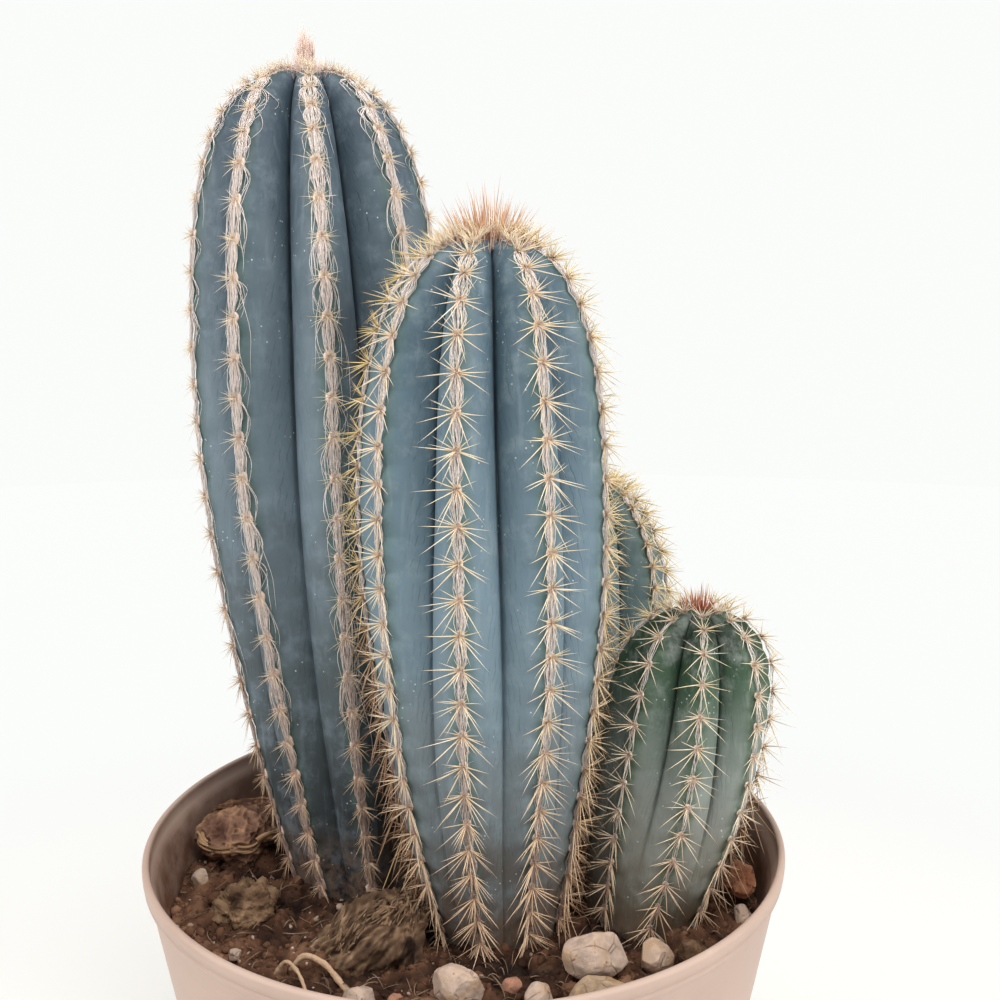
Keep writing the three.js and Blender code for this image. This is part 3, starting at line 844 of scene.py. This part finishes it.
def make_spines(column, material):
    """Each areole's fan of spines, and the central spines that stand off the skin. Those of the
    ribs seen sideways turn long and brown towards the soil."""
    facts = column.facts
    shares, ribs, here, up, right, out = column.all_areoles()
    warm, age = ages(column, shares, ribs)
    faces_front = -out[:, 1]
    brown = smoothstep(1 - faces_front, 0.35, 0.9) * (1 - smoothstep(shares, 0.3, 0.7))
    age = np.maximum(age, 0.95 * brown)
    young = smoothstep(shares, 0.92, 0.99)
    near_soil = lerp(1.15, 1.0, smoothstep(shares, 0.05, 0.4))
    size = facts["spine_length"] * lerp(1.0, 0.85, young) * near_soil
    gather = 1 - 0.46 * (1 - smoothstep(shares, 0.0, 0.55))
    thin = 0.75 if facts["curls"] else 1.0
    paths, radii = [], []

    def grow(start, direction, lengths, thickness):
        sag = rng.normal(0, 0.04, (len(shares), 3))
        paths.append(curved(start, direction, lengths, sag, 5))
        radii.append((thickness + 0.0085 * lengths) * thin)

    for turn, lift, length in SPINE_FAN[:facts["spines"]]:
        from_down = turn - 270 if turn > 90 else turn + 90
        turned = 270 + from_down * gather + rng.normal(0, 8, len(shares))
        raised = lift + rng.normal(0, 6, len(shares)) + 22 * young
        direction = aim(up, right, out, turned, np.clip(raised, 6, 80))
        lengths = length * size * (1 + 0.65 * brown) * rng.uniform(0.78, 1.15, len(shares))
        grow(here + out * 0.25 + direction * 0.2, direction, lengths, 0.06)
    for _ in range(facts["centrals"]):
        turned = rng.uniform(170, 370, len(shares))
        direction = aim(up, right, out, turned, rng.uniform(42, 76, len(shares)))
        grow(here + out * 0.25, direction, size * rng.uniform(2.6, 5.4, len(shares)), 0.075)
    warm, age, brown = (np.tile(values, len(paths)) for values in (warm, age, brown))
    warm = np.clip(warm + rng.normal(0, 0.16, len(warm)), 0, 1)
    age = np.clip(age + rng.normal(0, 0.12, len(age)), 0, 1)
    tone = np.clip(rng.random(len(age)) * 0.8 + 0.6 * brown, 0, 1)
    strands(f"{column.name}_spines", np.concatenate(paths), np.concatenate(radii), material,
            "spines", tone, extra={"warm": warm, "age": age})


def make_wool(column, material):
    """The felt pad of each areole and the short fuzz on it."""
    facts = column.facts
    shares, ribs, here, up, right, out = column.all_areoles()
    _, age = ages(column, shares, ribs)
    shape, pattern = ball(2)
    wide, tall = facts["felt"]
    local = shape * (1 + 0.2 * rng.uniform(-1, 1, (len(shares), len(shape), 1)))
    crowding = lerp(1.0, 0.5, smoothstep(shares, 0.93, 0.995))[:, None, None]
    points = (here[:, None] + local[..., 0:1] * right[:, None] * wide * crowding
              + local[..., 1:2] * up[:, None] * tall * crowding
              + local[..., 2:3] * out[:, None] * 0.34)
    attributes = {
        "tone": np.repeat(rng.random(len(shares)), len(shape)),
        "along": np.full(len(shares) * len(shape), 0.3),
        "age": np.repeat(age, len(shape)),
    }
    mesh_object(f"{column.name}_felt", points.reshape(-1, 3),
                repeated(pattern, len(shares), len(shape)), material, attributes=attributes)
    many = np.repeat(np.arange(len(shares)), HAIRS_OF_FUZZ)
    turned = rng.uniform(0, 360, len(many))
    direction = aim(up[many], right[many], out[many], turned, rng.uniform(10, 70, len(many)))
    scatter = rng.uniform(-0.75, 0.75, (len(many), 2))
    start = (here[many] + right[many] * scatter[:, :1] * wide + up[many] * scatter[:, 1:] * tall
             + out[many] * 0.2)
    lengths = rng.uniform(0.6, 1.7, len(many)) * (1.25 if facts["curls"] else 1.0)
    sag = rng.normal(0, 0.3, (len(many), 3)) - up[many] * 0.25
    strands(f"{column.name}_fuzz", curved(start, direction, lengths, sag, 3),
            np.full(len(many), 0.042), material, "wool", rng.random(len(many)), sides=3,
            extra={"age": age[many]})


def make_combed_hair(column, material):
    """Fine hairs that hang down the crest from one areole to the next."""
    facts = column.facts
    shares, ribs, _, _, right, out = column.all_areoles()
    kept = shares < 0.985
    shares, ribs, right, out = (part[kept] for part in (shares, ribs, right, out))
    _, age = ages(column, shares, ribs)
    many = np.repeat(np.arange(len(shares)), facts["combed"])
    spacing = np.interp(shares, SPACING_AT, facts["spacing"])[many]
    strand_side = np.repeat(rng.uniform(-0.5, 0.5, len(shares)), facts["combed"])
    across = rng.uniform(-1, 1, len(many)) * facts["comb_width"]
    drift = rng.normal(0, 0.12, len(many)) + 0.3 * strand_side * facts["comb_width"]
    fall = spacing * rng.uniform(0.75, 1.2, len(many))
    along = np.linspace(0, 1, 6)
    share = shares[many][:, None] - along * (fall / column.height)[:, None]
    crest = column.point(share, ribs[many][:, None].astype(float))
    arch = np.sin(math.pi * np.clip(along * 1.1, 0, 1))
    lifted = 0.22 + rng.uniform(0.05, 0.55, (len(many), 1)) * (0.4 + arch)
    waves = along * rng.uniform(3, 8, (len(many), 1))
    wave = 0.16 * np.sin(waves + rng.uniform(0, TAU, (len(many), 1)))
    crown = 1 + 0.5 * smoothstep(shares[many], 0.85, 0.97)[:, None]
    sideways = crown * across[:, None] * (0.35 + 0.75 * arch) + drift[:, None] * along + wave
    paths = (crest + right[many][:, None] * sideways[..., None]
             + out[many][:, None] * (lifted - 0.16 * np.abs(sideways) ** 1.5)[..., None])
    strands(f"{column.name}_combed", paths, rng.uniform(0.05, 0.085, len(many)), material, "wool",
            rng.random(len(many)), sides=3, taper=0.6, extra={"age": age[many]})


def make_curls(column, material):
    """Long white hairs that loop off the upper areoles, most of them back to the next one."""
    shares, ribs, _, _, _, out = column.all_areoles()
    _, age = ages(column, shares, ribs)
    upper = np.where((shares > 0.25) & (shares < 0.985))[0]
    along = np.linspace(0, 1, 12)[None, :]
    for part, each, width, most, returns in (("loops", 7.0, (0.7, 2.3), 1.6, (0.7, 1.0)),
                                             ("strays", 0.8, (1.4, 3.6), 2.6, (0.4, 0.75))):
        many = rng.choice(upper, size=int(len(upper) * each))
        count = len(many)
        spacing = np.interp(shares[many], SPACING_AT, column.facts["spacing"])
        length = (spacing * rng.uniform(0.8, most, count))[:, None]
        side = np.where(rng.random(count) < 0.5, -1.0, 1.0)[:, None]
        reach = rng.uniform(*width, count)[:, None]
        phase = rng.uniform(0, TAU, count)[:, None]
        back = rng.uniform(*returns, count)[:, None]
        across = side * (0.3 + reach * np.sin(along ** 0.8 * math.pi * back))
        across = across + 0.14 * np.sin(along * 9 + phase)
        lift = 0.3 + rng.uniform(0.1, 0.8, count)[:, None] * np.sin(along * math.pi * 0.9)
        share = shares[many][:, None] - along * length / column.height
        turned = across / column.radius(shares[many])[:, None] / TAU * column.facts["ribs"]
        crest = column.point(share, ribs[many][:, None] + turned)
        strands(f"{column.name}_{part}", crest + out[many][:, None] * lift[..., None],
                rng.uniform(0.045, 0.085, count), material, "wool", rng.random(count), 3, 0.6,
                extra={"age": age[many]})


def make_tuft(column, material, slot, count, height, foot_radius, splay, thickness, lowest):
    """The young spines that stand on the growing tip."""
    centre = np.array([*column.axis(1.0), SOIL_LEVEL + column.height - 0.8])
    angle = rng.uniform(0, TAU, count)
    place = np.sqrt(rng.random(count))
    flat = np.stack([np.cos(angle), np.sin(angle), np.zeros(count)], 1)
    start = centre + flat * (place * foot_radius)[:, None]
    start[:, 2] -= place ** 2 * foot_radius * 0.3
    lean = np.radians(splay) * place * rng.uniform(0.6, 1.2, count)
    lean = lean + np.radians(rng.normal(0, 4, count))
    direction = flat * np.sin(lean)[:, None] + np.array([-0.05, 0, 1]) * np.cos(lean)[:, None]
    lengths = height * rng.uniform(lowest, 1.0, count) * (1 - 0.3 * place)
    sag = rng.normal(0, 0.05, (count, 3))
    strands(f"{column.name}_tuft_{material.name}_{splay}", curved(start, direction, lengths, sag, 5),
            thickness * rng.uniform(0.75, 1.15, count), material, slot, rng.random(count),
            extra={"age": np.zeros(count), "warm": np.zeros(count)})


# Each skin's colours: bands up the column, the green near the crests, the painted shade of the
# furrows, which also colours the veins and dark streaks, and the pale bloom.
SKINS = {
    "skin_tall": (
        [(0.0, (0.010, 0.013, 0.018)), (0.2, (0.048, 0.063, 0.068)),
         (0.5, (0.116, 0.160, 0.190)), (0.92, (0.048, 0.074, 0.098))],
        (0.060, 0.108, 0.088), (0.018, 0.030, 0.042), (0.165, 0.215, 0.258)),
    "skin_front": (
        [(0.0, (0.095, 0.072, 0.052)), (0.2, (0.150, 0.176, 0.184)),
         (0.5, (0.135, 0.205, 0.252)), (0.92, (0.062, 0.108, 0.142))],
        (0.085, 0.150, 0.135), (0.020, 0.036, 0.050), (0.225, 0.290, 0.320)),
    "skin_small": (
        [(0.0, (0.110, 0.090, 0.062)), (0.25, (0.245, 0.252, 0.222)), (0.5, (0.205, 0.235, 0.215)),
         (0.64, (0.135, 0.172, 0.146)), (0.8, (0.034, 0.072, 0.040)), (0.93, (0.008, 0.022, 0.009))],
        (0.045, 0.095, 0.048), (0.010, 0.024, 0.014), (0.300, 0.340, 0.315)),
    "skin_back": (
        [(0.0, (0.060, 0.075, 0.070)), (0.3, (0.080, 0.115, 0.120)),
         (0.6, (0.095, 0.150, 0.165)), (0.95, (0.085, 0.130, 0.125))],
        (0.080, 0.120, 0.085), (0.020, 0.034, 0.036), (0.200, 0.250, 0.260)),
}

# Each fibre's colour at the root, in the middle and at the tip, its darkest colour, its roughness,
# how many are dark, and for some the warm and the old colour.
FIBRES = {
    "spines_straw": ((0.68, 0.49, 0.38), (0.85, 0.74, 0.56), (0.66, 0.46, 0.25), (0.60, 0.41, 0.23),
                     0.42, 0.4, (0.78, 0.58, 0.22), (0.72, 0.49, 0.32)),
    "wool_felt": ((0.76, 0.58, 0.50), (0.80, 0.66, 0.57), (0.84, 0.74, 0.66), (0.66, 0.48, 0.39),
                  0.9, 0.4, None, (0.58, 0.41, 0.32)),
    "wool_hair": ((0.80, 0.67, 0.60), (0.88, 0.80, 0.76), (0.90, 0.85, 0.81), (0.78, 0.65, 0.58),
                  0.6, 0.4, None, (0.60, 0.45, 0.37)),
    "young_pink": ((0.66, 0.47, 0.39), (0.78, 0.61, 0.53), (0.82, 0.70, 0.64), (0.66, 0.46, 0.38),
                   0.6, 0.4),
    "young_orange": ((0.54, 0.27, 0.15), (0.64, 0.37, 0.21), (0.62, 0.40, 0.27), (0.40, 0.16, 0.09),
                     0.5, 0.75),
    "young_russet": ((0.42, 0.13, 0.08), (0.52, 0.19, 0.11), (0.66, 0.36, 0.22), (0.30, 0.08, 0.05),
                     0.5, 0.5),
    "young_golden": ((0.62, 0.42, 0.16), (0.78, 0.58, 0.22), (0.66, 0.42, 0.14), (0.50, 0.30, 0.10),
                     0.45, 0.4),
}

# The layers of each growing tip's tuft: fibre, slot, count, height, radius of the foot, splay in
# degrees, thickness, and the shortest as a share of the height.
PINK, TAN = "young_spines_pink", "young_spines_orange"
TUFTS = {
    "stem_tall": [("young_pink", PINK, 240, 12.0, 1.2, 4, 0.12, 0.75),
                  ("young_pink", PINK, 240, 6.6, 3.0, 14, 0.11, 0.5),
                  ("young_pink", PINK, 520, 5.2, 8.0, 56, 0.085, 0.4)],
    "stem_front": [("young_orange", TAN, 170, 12.0, 4.2, 34, 0.14, 0.4),
                   ("young_orange", TAN, 110, 11.5, 5.5, 62, 0.15, 0.4),
                   ("young_pink", PINK, 420, 5.8, 8.4, 62, 0.09, 0.4)],
    "stem_small": [("young_russet", TAN, 70, 7.2, 1.8, 24, 0.15, 0.4),
                   ("young_russet", TAN, 50, 4.0, 3.2, 44, 0.13, 0.5)],
    "stem_back": [("young_golden", TAN, 150, 6.4, 3.4, 46, 0.14, 0.5)],
}


def make_columns():
    skins = {name: skin_material(name, *colours) for name, colours in SKINS.items()}
    fibres = {name: fibre_material(name, *colours) for name, colours in FIBRES.items()}
    for name, facts in COLUMNS.items():
        column = Column(name, facts)
        slot = name.replace("stem", "skin")
        make_skin(column, skins[slot])
        make_spines(column, fibres["spines_straw"])
        make_wool(column, fibres["wool_felt"])
        make_combed_hair(column, fibres["wool_hair"])
        if facts["curls"]:
            make_curls(column, fibres["wool_hair"])
        for fibre, *layer in TUFTS[name]:
            make_tuft(column, fibres[fibre], *layer)


# ---- The soil and what lies on it ----

EARTH = [(0.0, (0.010, 0.0045, 0.003)), (0.3, (0.046, 0.020, 0.011)), (0.55, (0.125, 0.060, 0.034)),
         (1.0, (0.290, 0.160, 0.095))]


def soil_height(x, y):
    """The same uneven top as the packed soil's, before its crumbs."""
    waves = 0.5 * np.sin(0.23 * x + 0.8) * np.cos(0.19 * y) + 0.3 * np.sin(0.5 * x - 0.4 * y)
    heap = 1.6 * np.exp(-((x + 44) ** 2 + (y - 13) ** 2) / 90)
    bank = 1.2 * np.exp(-((x + 19) ** 2 + (y + 21) ** 2) / 110)
    return SOIL_LEVEL - 0.6 + waves + heap + bank


def make_soil():
    """The bed of soil: crumbly on top, with a wall and a floor inside the pot."""
    sides, rings = 460, 190
    angles = np.arange(sides) * TAU / sides
    edge = outer_wall(SOIL_LEVEL - 1.6) - WALL - 0.35
    radii = edge * (1 - np.linspace(0, 1, rings, endpoint=False))
    x = radii[:, None] * np.cos(angles)
    y = radii[:, None] * np.sin(angles)
    crumbs = soil_crumbs(x, y)
    top = np.stack([x, y, soil_height(x, y) + crumbs], -1)
    floor = FOOT_RECESS + WALL + 0.3
    low_edge = outer_wall(floor + 1) - WALL - 0.4
    poles = [[0, 0, floor], [0, 0, soil_height(0, 0)]]
    points = np.concatenate([circle(low_edge, floor, sides), top.reshape(-1, 3), poles])
    count = (rings + 1) * sides
    faces = ring_faces(rings + 1, sides, count, count + 1)
    # Painted shade: the soil is darker in the hollows between its crumbs and lighter on their tops.
    hollow = np.concatenate([np.zeros(sides), crumbs.ravel(), [0, 0]])
    tone = np.clip(soil_tone(points) - 0.12 + 0.2 * hollow, 0, 1)
    mesh_object("soil_bed", points, faces, grain_material("soil", EARTH, size=0.9),
                attributes={"tone": tone}, node="potting_soil")


def soil_tone(points):
    """How light the soil is: lightest along the left, with patches."""
    flat = points * [1, 1, 0]
    patches = 0.24 * rough(flat, 9, 4, 21) + 0.14 * noise(flat, 2.2, 27)
    return 0.36 + patches + 0.12 * smoothstep(-points[:, 0], 15, 45)


def soil_crumbs(x, y):
    """Height of the crumbs that the soil is made of, in millimetres."""
    flat = np.stack([x, y, np.zeros_like(x)], -1)
    lumpy = 1.5 * np.abs(noise(flat, 4.2, 8)) + 0.8 * np.abs(noise(flat, 1.9, 12))
    return lumpy + 0.35 * noise(flat, 0.9, 5) + 0.7 * rough(flat, 8, 5, 3) - 0.65


def ground_height(x, y):
    """The top of the soil with its crumbs."""
    return soil_height(x, y) + soil_crumbs(x, y)


def free_places(count):
    """Places on the soil that no column stands on."""
    radius = 55.3 * np.sqrt(rng.random(count))
    angle = rng.uniform(0, TAU, count)
    x, y = radius * np.cos(angle), radius * np.sin(angle)
    kept = np.ones(count, bool)
    for facts in COLUMNS.values():
        foot = facts["foot"]
        kept &= np.hypot(x - foot[0], y - foot[1]) > facts["foot_radius"] - 1.5
    return x[kept], y[kept]


def make_gravel():
    """Loose crumbs of soil in several sizes, and a few pale mineral grains."""
    earth = grain_material("soil_crumbs", EARTH, size=0.8)
    pale = grain_material("grit_pale", [(0.0, (0.24, 0.165, 0.12)), (0.5, (0.40, 0.30, 0.235)),
                                        (1.0, (0.60, 0.50, 0.42))], size=0.9)
    for part, tries, least, most, detail in (("fine", 6500, 0.18, 0.45, 1),
                                             ("medium", 700, 0.4, 1.0, 2),
                                             ("large", 46, 0.9, 1.9, 3)):
        x, y = free_places(tries)
        size = least + (most - least) * rng.random(len(x)) ** 2
        shape = size[:, None] * rng.uniform(0.65, 1.15, (len(x), 3))
        centres = np.stack([x, y, ground_height(x, y) + size * 0.05], 1)
        tone = np.clip(soil_tone(centres) + rng.normal(0, 0.1, len(x)), 0, 1)
        lumps(f"soil_crumbs_{part}", centres, shape, earth, tone, detail)
    x, y = free_places(230)
    size = 0.2 + 0.6 * rng.random(len(x)) ** 2.5
    shape = size[:, None] * rng.uniform(0.6, 1.2, (len(x), 3))
    centres = np.stack([x, y, ground_height(x, y) + size * 0.4], 1)
    lumps("soil_grit", centres, shape, pale, rng.random(len(x)), 2)


def make_fibres():
    """Short peat and root fibres lying in the soil."""
    material = fibre_material("fibres", (0.16, 0.10, 0.065), (0.25, 0.165, 0.11), (0.30, 0.20, 0.13),
                              (0.08, 0.045, 0.03), 0.9, 0.9)
    x, y = free_places(800)
    count = len(x)
    turn = rng.uniform(0, TAU, count)
    length = rng.uniform(1.5, 6.5, count)
    along = np.linspace(-0.5, 0.5, 6)
    bent = rng.normal(0, 0.35, count)[:, None] * along ** 2
    cosine, sine = np.cos(turn)[:, None], np.sin(turn)[:, None]
    px = x[:, None] + length[:, None] * (along * cosine - bent * sine)
    py = y[:, None] + length[:, None] * (along * sine + bent * cosine)
    shrink = np.minimum(1, SOIL_EDGE / np.hypot(px, py))
    px, py = px * shrink, py * shrink
    arch = rng.uniform(0.2, 1.1, count)[:, None] * (1 - (2 * along) ** 2)
    pz = soil_height(px, py) + soil_crumbs(x, y)[:, None] + 0.3 + arch
    strands("soil_fibres", np.stack([px, py, pz], -1), rng.uniform(0.06, 0.17, count), material, "peat",
            rng.random(count), sides=3, taper=0.6)


def refined(node, name, material, levels, reshape, attributes=None):
    """A finer copy of a packed stone, clod or flake: rounded, then reshaped by moving its points,
    which reshape gets with their normals."""
    source = frame["nodes"][node]
    welded = bmesh.new()
    welded.from_mesh(source.data)
    welded.transform(source.matrix_world)
    bmesh.ops.remove_doubles(welded, verts=welded.verts, dist=0.02 * MM)
    mesh = bpy.data.meshes.new(name)
    welded.to_mesh(mesh)
    welded.free()
    coarse = in_scene(name, mesh)
    smoother = coarse.modifiers.new("round", "SUBSURF")
    smoother.levels = smoother.render_levels = levels
    fine = evaluated_mesh(coarse)
    bpy.data.objects.remove(coarse)
    co, normal = (np.empty(len(fine.vertices) * 3, np.float32) for _ in range(2))
    fine.vertices.foreach_get("co", co)
    fine.vertices.foreach_get("normal", normal)
    points = reshape(co.reshape(-1, 3).astype(float) / MM, normal.reshape(-1, 3).astype(float))
    faces = [list(face.vertices) for face in fine.polygons]
    values = {label: value(points) for label, value in (attributes or {}).items()}
    mesh_object(name, points, faces, material, attributes=values, node=node)


def along_normals(relief):
    """A reshape that moves each point along its normal by relief millimetres."""
    return lambda points, normals: points + normals * relief(points)[:, None]


def chiselled(points, normals, size, seed):
    """A worn stone's shape: flat faces knocked off a lump, then softened by relief."""
    chips = np.random.default_rng(seed)
    centre = (points.min(0) + points.max(0)) / 2
    for _ in range(16):
        direction = unit(chips.normal(size=3))
        reach = (points - centre) @ direction
        over = np.maximum(reach - reach.max() * chips.uniform(0.72, 0.93), 0)
        points = points - direction * (over * 0.88)[:, None]
    relief = 0.022 * rough(points, size * 0.3, 4, seed) + 0.016 * noise(points, size * 0.8, seed)
    return points + normals * (size * (relief + 0.012))[:, None]


def subparts_with(slots):
    """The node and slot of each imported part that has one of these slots."""
    for entry in frame["record"]["subparts"]:
        if entry["material_slot"] in slots:
            yield entry["node"], entry["material_slot"]


def make_stones():
    looks = {
        "stone_pale": ((0.51, 0.385, 0.31), (0.42, 0.27, 0.15), (0.20, 0.13, 0.09)),
        "stone_yellow": ((0.46, 0.33, 0.22), (0.40, 0.23, 0.10), (0.20, 0.12, 0.07)),
        "stone_red": ((0.42, 0.21, 0.14), (0.30, 0.11, 0.06), (0.20, 0.09, 0.06)),
    }
    materials = {slot: stone_material(slot, *colours) for slot, colours in looks.items()}
    for node, slot in subparts_with(materials):
        low, high = box_mm(node)
        size, seed = high[0] - low[0], sum(map(ord, node))
        levels = 4 if size > 5 else 3
        refined(node, f"{node}_worn", materials[slot], levels,
                lambda points, normals: chiselled(points, normals, size, seed))


PEAT_GRAIN = unit(np.array([0.6, 0.1, 0.8]))


def make_clods():
    peat = grain_material("peat", [
        (0.0, (0.016, 0.008, 0.005)), (0.35, (0.085, 0.049, 0.028)),
        (0.7, (0.22, 0.140, 0.085)), (1.0, (0.40, 0.285, 0.19))], size=0.7)
    refined("clod_peat", "clod_peat_crumbly", peat, 4, peat_wedge, {"tone": peat_tone})
    sandy = grain_material("sandy_soil", [
        (0.0, (0.035, 0.018, 0.010)), (0.4, (0.13, 0.075, 0.042)),
        (0.75, (0.25, 0.160, 0.095)), (1.0, (0.38, 0.27, 0.175))], size=0.9)
    for node, strength in (("clod_sandy", 1.7), ("clod_right", 0.6)):
        seed = len(node) * 3

        def relief(points):
            lumpy = 1.2 * (0.6 - np.abs(noise(points, 3.6, seed))) + 0.8 * rough(points, 2.4, 5, seed)
            return strength * (lumpy - 0.3)

        def tone(points):
            return np.clip(0.42 + 0.4 * rough(points, 2.2, 4, seed + 9), 0, 1)

        refined(node, f"{node}_crumbly", sandy, 4, along_normals(relief), {"tone": tone})
    make_peat_flakes()


def peat_wedge(points, normals):
    """The peat clod's shape: a wedge that rises to the right, ridged along its slanting fibres."""
    low, high = points.min(0), points.max(0)
    centre, half = (low + high) / 2, (high - low) / 2
    local = (points - centre) / half
    top = smoothstep(local[:, 2], -0.4, 0.6)
    shaped = points.copy()
    shaped[:, 0] += 1.8 * top * local[:, 2]
    shaped[:, 2] += top * (2.2 * local[:, 0] - 0.4)
    along = points @ PEAT_GRAIN
    across = points - along[:, None] * PEAT_GRAIN
    ridged = across + 0.28 * along[:, None] * PEAT_GRAIN
    relief = 1.7 * (0.5 - np.abs(noise(ridged, 2.1, 4))) + 0.9 * noise(ridged, 0.7, 6)
    return shaped + normals * (relief + 0.9 * rough(points, 5, 5, 8))[:, None]


def peat_tone(points):
    """How light the peat is, in streaks along its fibres."""
    along = points @ PEAT_GRAIN
    ridged = points - 0.75 * along[:, None] * PEAT_GRAIN
    return np.clip(0.40 + 0.36 * noise(ridged, 0.7, 6) + 0.3 * rough(points, 3, 4, 2), 0, 1)


def make_peat_flakes():
    """Flakes and short fibres that stand out of the peat clod, pointing up and to the right."""
    fibre = fibre_material("peat_fibre", (0.10, 0.056, 0.032), (0.20, 0.125, 0.072), (0.40, 0.29, 0.20),
                           (0.055, 0.029, 0.017), 0.9, 0.9)
    low, high = box_mm("clod_peat")
    centre, half = (low + high) / 2, (high - low) / 2
    for part, count, reach, thickness in (("fibres", 200, (0.8, 2.6), (0.05, 0.12)),
                                          ("flakes", 560, (1.0, 3.4), (0.12, 0.38))):
        spot = unit(rng.normal(size=(count, 3)))
        spot = spot[spot[:, 2] > 0.0]
        lift = spot[:, 2:] * [1.8, 0, 0] + spot[:, :1] * [0, 0, 2.2]
        start = centre + spot * half * 0.93 + lift
        grain = unit(PEAT_GRAIN + rng.normal(0, 0.16, (len(spot), 3)))
        flat = unit(grain - spot * np.sum(grain * spot, 1, keepdims=True) * 0.85)
        sag = rng.normal(0, 0.1, (len(spot), 3)) + spot * 0.1
        paths = curved(start, flat, rng.uniform(*reach, len(spot)), sag, 5)
        strands(f"clod_peat_{part}", paths, rng.uniform(*thickness, len(spot)), fibre, "peat",
                rng.random(len(spot)), 5, 0.7)


def make_bark():
    looks = {
        "bark": ((0.24, 0.125, 0.070), (0.085, 0.042, 0.028), (0.36, 0.23, 0.13)),
        "bark_reddish": ((0.40, 0.185, 0.115), (0.16, 0.066, 0.042), (0.46, 0.27, 0.18)),
    }
    materials = {slot: bark_material(slot, *colours) for slot, colours in looks.items()}
    for node, slot in subparts_with(materials):
        seed = len(node) * 7

        def relief(points):
            layers = 0.45 * rough(points * [0.5, 1.4, 1.4], 2.0, 4, seed)
            return layers + 0.35 * noise(points, 1.6, seed) + 0.15 * noise(points, 0.6, seed)

        refined(node, f"{node}_flaky", materials[slot], 4, along_normals(relief))
    make_bark_heaps()


def crumbly_heap(name, centre, half, stops, seed, strength):
    """A heap of crumbled bark that stays inside the pot's wall."""
    shape, faces = ball(7)
    points = shape * half + centre
    relief = 1.1 * (0.5 - np.abs(noise(points, 2.1, seed)))
    relief = relief + 0.9 * (0.4 - np.abs(noise(points, 1.0, seed + 3)))
    relief = relief + 0.9 * rough(points, 4.5, 6, seed + 7)
    points = points + shape * (strength * relief)[:, None]
    inner_wall = outer_wall(SOIL_LEVEL) - WALL - 0.7
    points[:, :2] *= np.minimum(1, inner_wall / np.hypot(points[:, 0], points[:, 1]))[:, None]
    # Painted shade: the tone follows the relief, so the heap is darker in its hollows and lighter on
    # its raised crumbs.
    tone = np.clip(0.45 + 0.35 * relief / 1.5 + 0.2 * rough(points, 2.5, 4, seed + 5), 0, 1)
    mesh_object(name, points, faces, grain_material(name, stops, size=0.8),
                attributes={"tone": tone})


def make_bark_heaps():
    """The crumbled bark inside the torn pale edge of the curled piece, and the soft reddish heap."""
    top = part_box("bark_curl")[1][2] / MM
    centre, half = np.array([-46.8, 10.5]), np.array([8.6, 9.0])
    crumbly_heap("bark_curl_crumbs", np.array([*centre, top - 4.8]), np.array([*(half - 0.9), 3.9]), [
        (0.0, (0.020, 0.009, 0.006)), (0.35, (0.105, 0.050, 0.034)), (0.65, (0.20, 0.108, 0.072)),
        (1.0, (0.40, 0.24, 0.125))], 31, 1.0)
    low, high = box_mm("bark_red")
    middle = (low + high) / 2 + [-0.6, 0, -0.2]
    crumbly_heap("bark_red_crumbs", middle, (high - low) / 2 + [0.2, 0.2, 0], [
        (0.0, (0.10, 0.036, 0.020)), (0.35, (0.34, 0.135, 0.072)), (0.65, (0.52, 0.245, 0.145)),
        (1.0, (0.66, 0.38, 0.25))], 47, 0.6)
    edge = fibre_material("bark_edge", (0.26, 0.15, 0.080), (0.38, 0.235, 0.130), (0.44, 0.29, 0.17),
                          (0.13, 0.066, 0.038), 0.9, 0.8)
    count = 34
    start = rng.uniform(math.pi * 0.7, math.pi * 1.9, count)
    turn = start[:, None] + rng.uniform(0.3, 0.8, count)[:, None] * np.linspace(0, 1, 12)
    out = rng.uniform(0.86, 1.0, count)[:, None] + 0.03 * np.sin(turn * 9 + start[:, None])
    x = centre[0] + half[0] * out * np.cos(turn)
    y = centre[1] + half[1] * out * np.sin(turn)
    pull = np.minimum(1, (outer_wall(SOIL_LEVEL) - WALL - 1.2) / np.hypot(x, y))
    uneven = 0.25 * np.sin(turn * 7) + 0.8 * np.sin(turn)
    z = top - 3.4 + rng.uniform(-0.9, 0.9, count)[:, None] + uneven
    strands("bark_curl_edge", np.stack([x * pull, y * pull, z], -1), rng.uniform(0.25, 0.6, count),
            edge, "bark", rng.random(count), 6, 0.6)


def make_roots():
    material = fibre_material("dry_root", (0.38, 0.25, 0.15), (0.46, 0.31, 0.20), (0.52, 0.37, 0.25),
                              (0.24, 0.14, 0.085), 0.85, 0.5)
    for node, seed in (("root_thick", 4), ("root_thin", 9)):

        def relief(points):
            return 0.16 * rough(points, 1.5, 4, seed) + 0.1 * noise(points, 3.0, seed)

        refined(node, f"{node}_knobbly", material, 3, along_normals(relief), {
            "tone": lambda points: np.full(len(points), 0.3),
            "along": lambda points: np.clip(0.5 + 0.4 * noise(points, 3, 2), 0, 1),
        })


bpy.context.scene.view_settings.view_transform = "Standard"
make_camera()
make_stage()
make_pot()
make_columns()
make_soil()
make_gravel()
make_fibres()
make_stones()
make_clods()
make_bark()
make_roots()
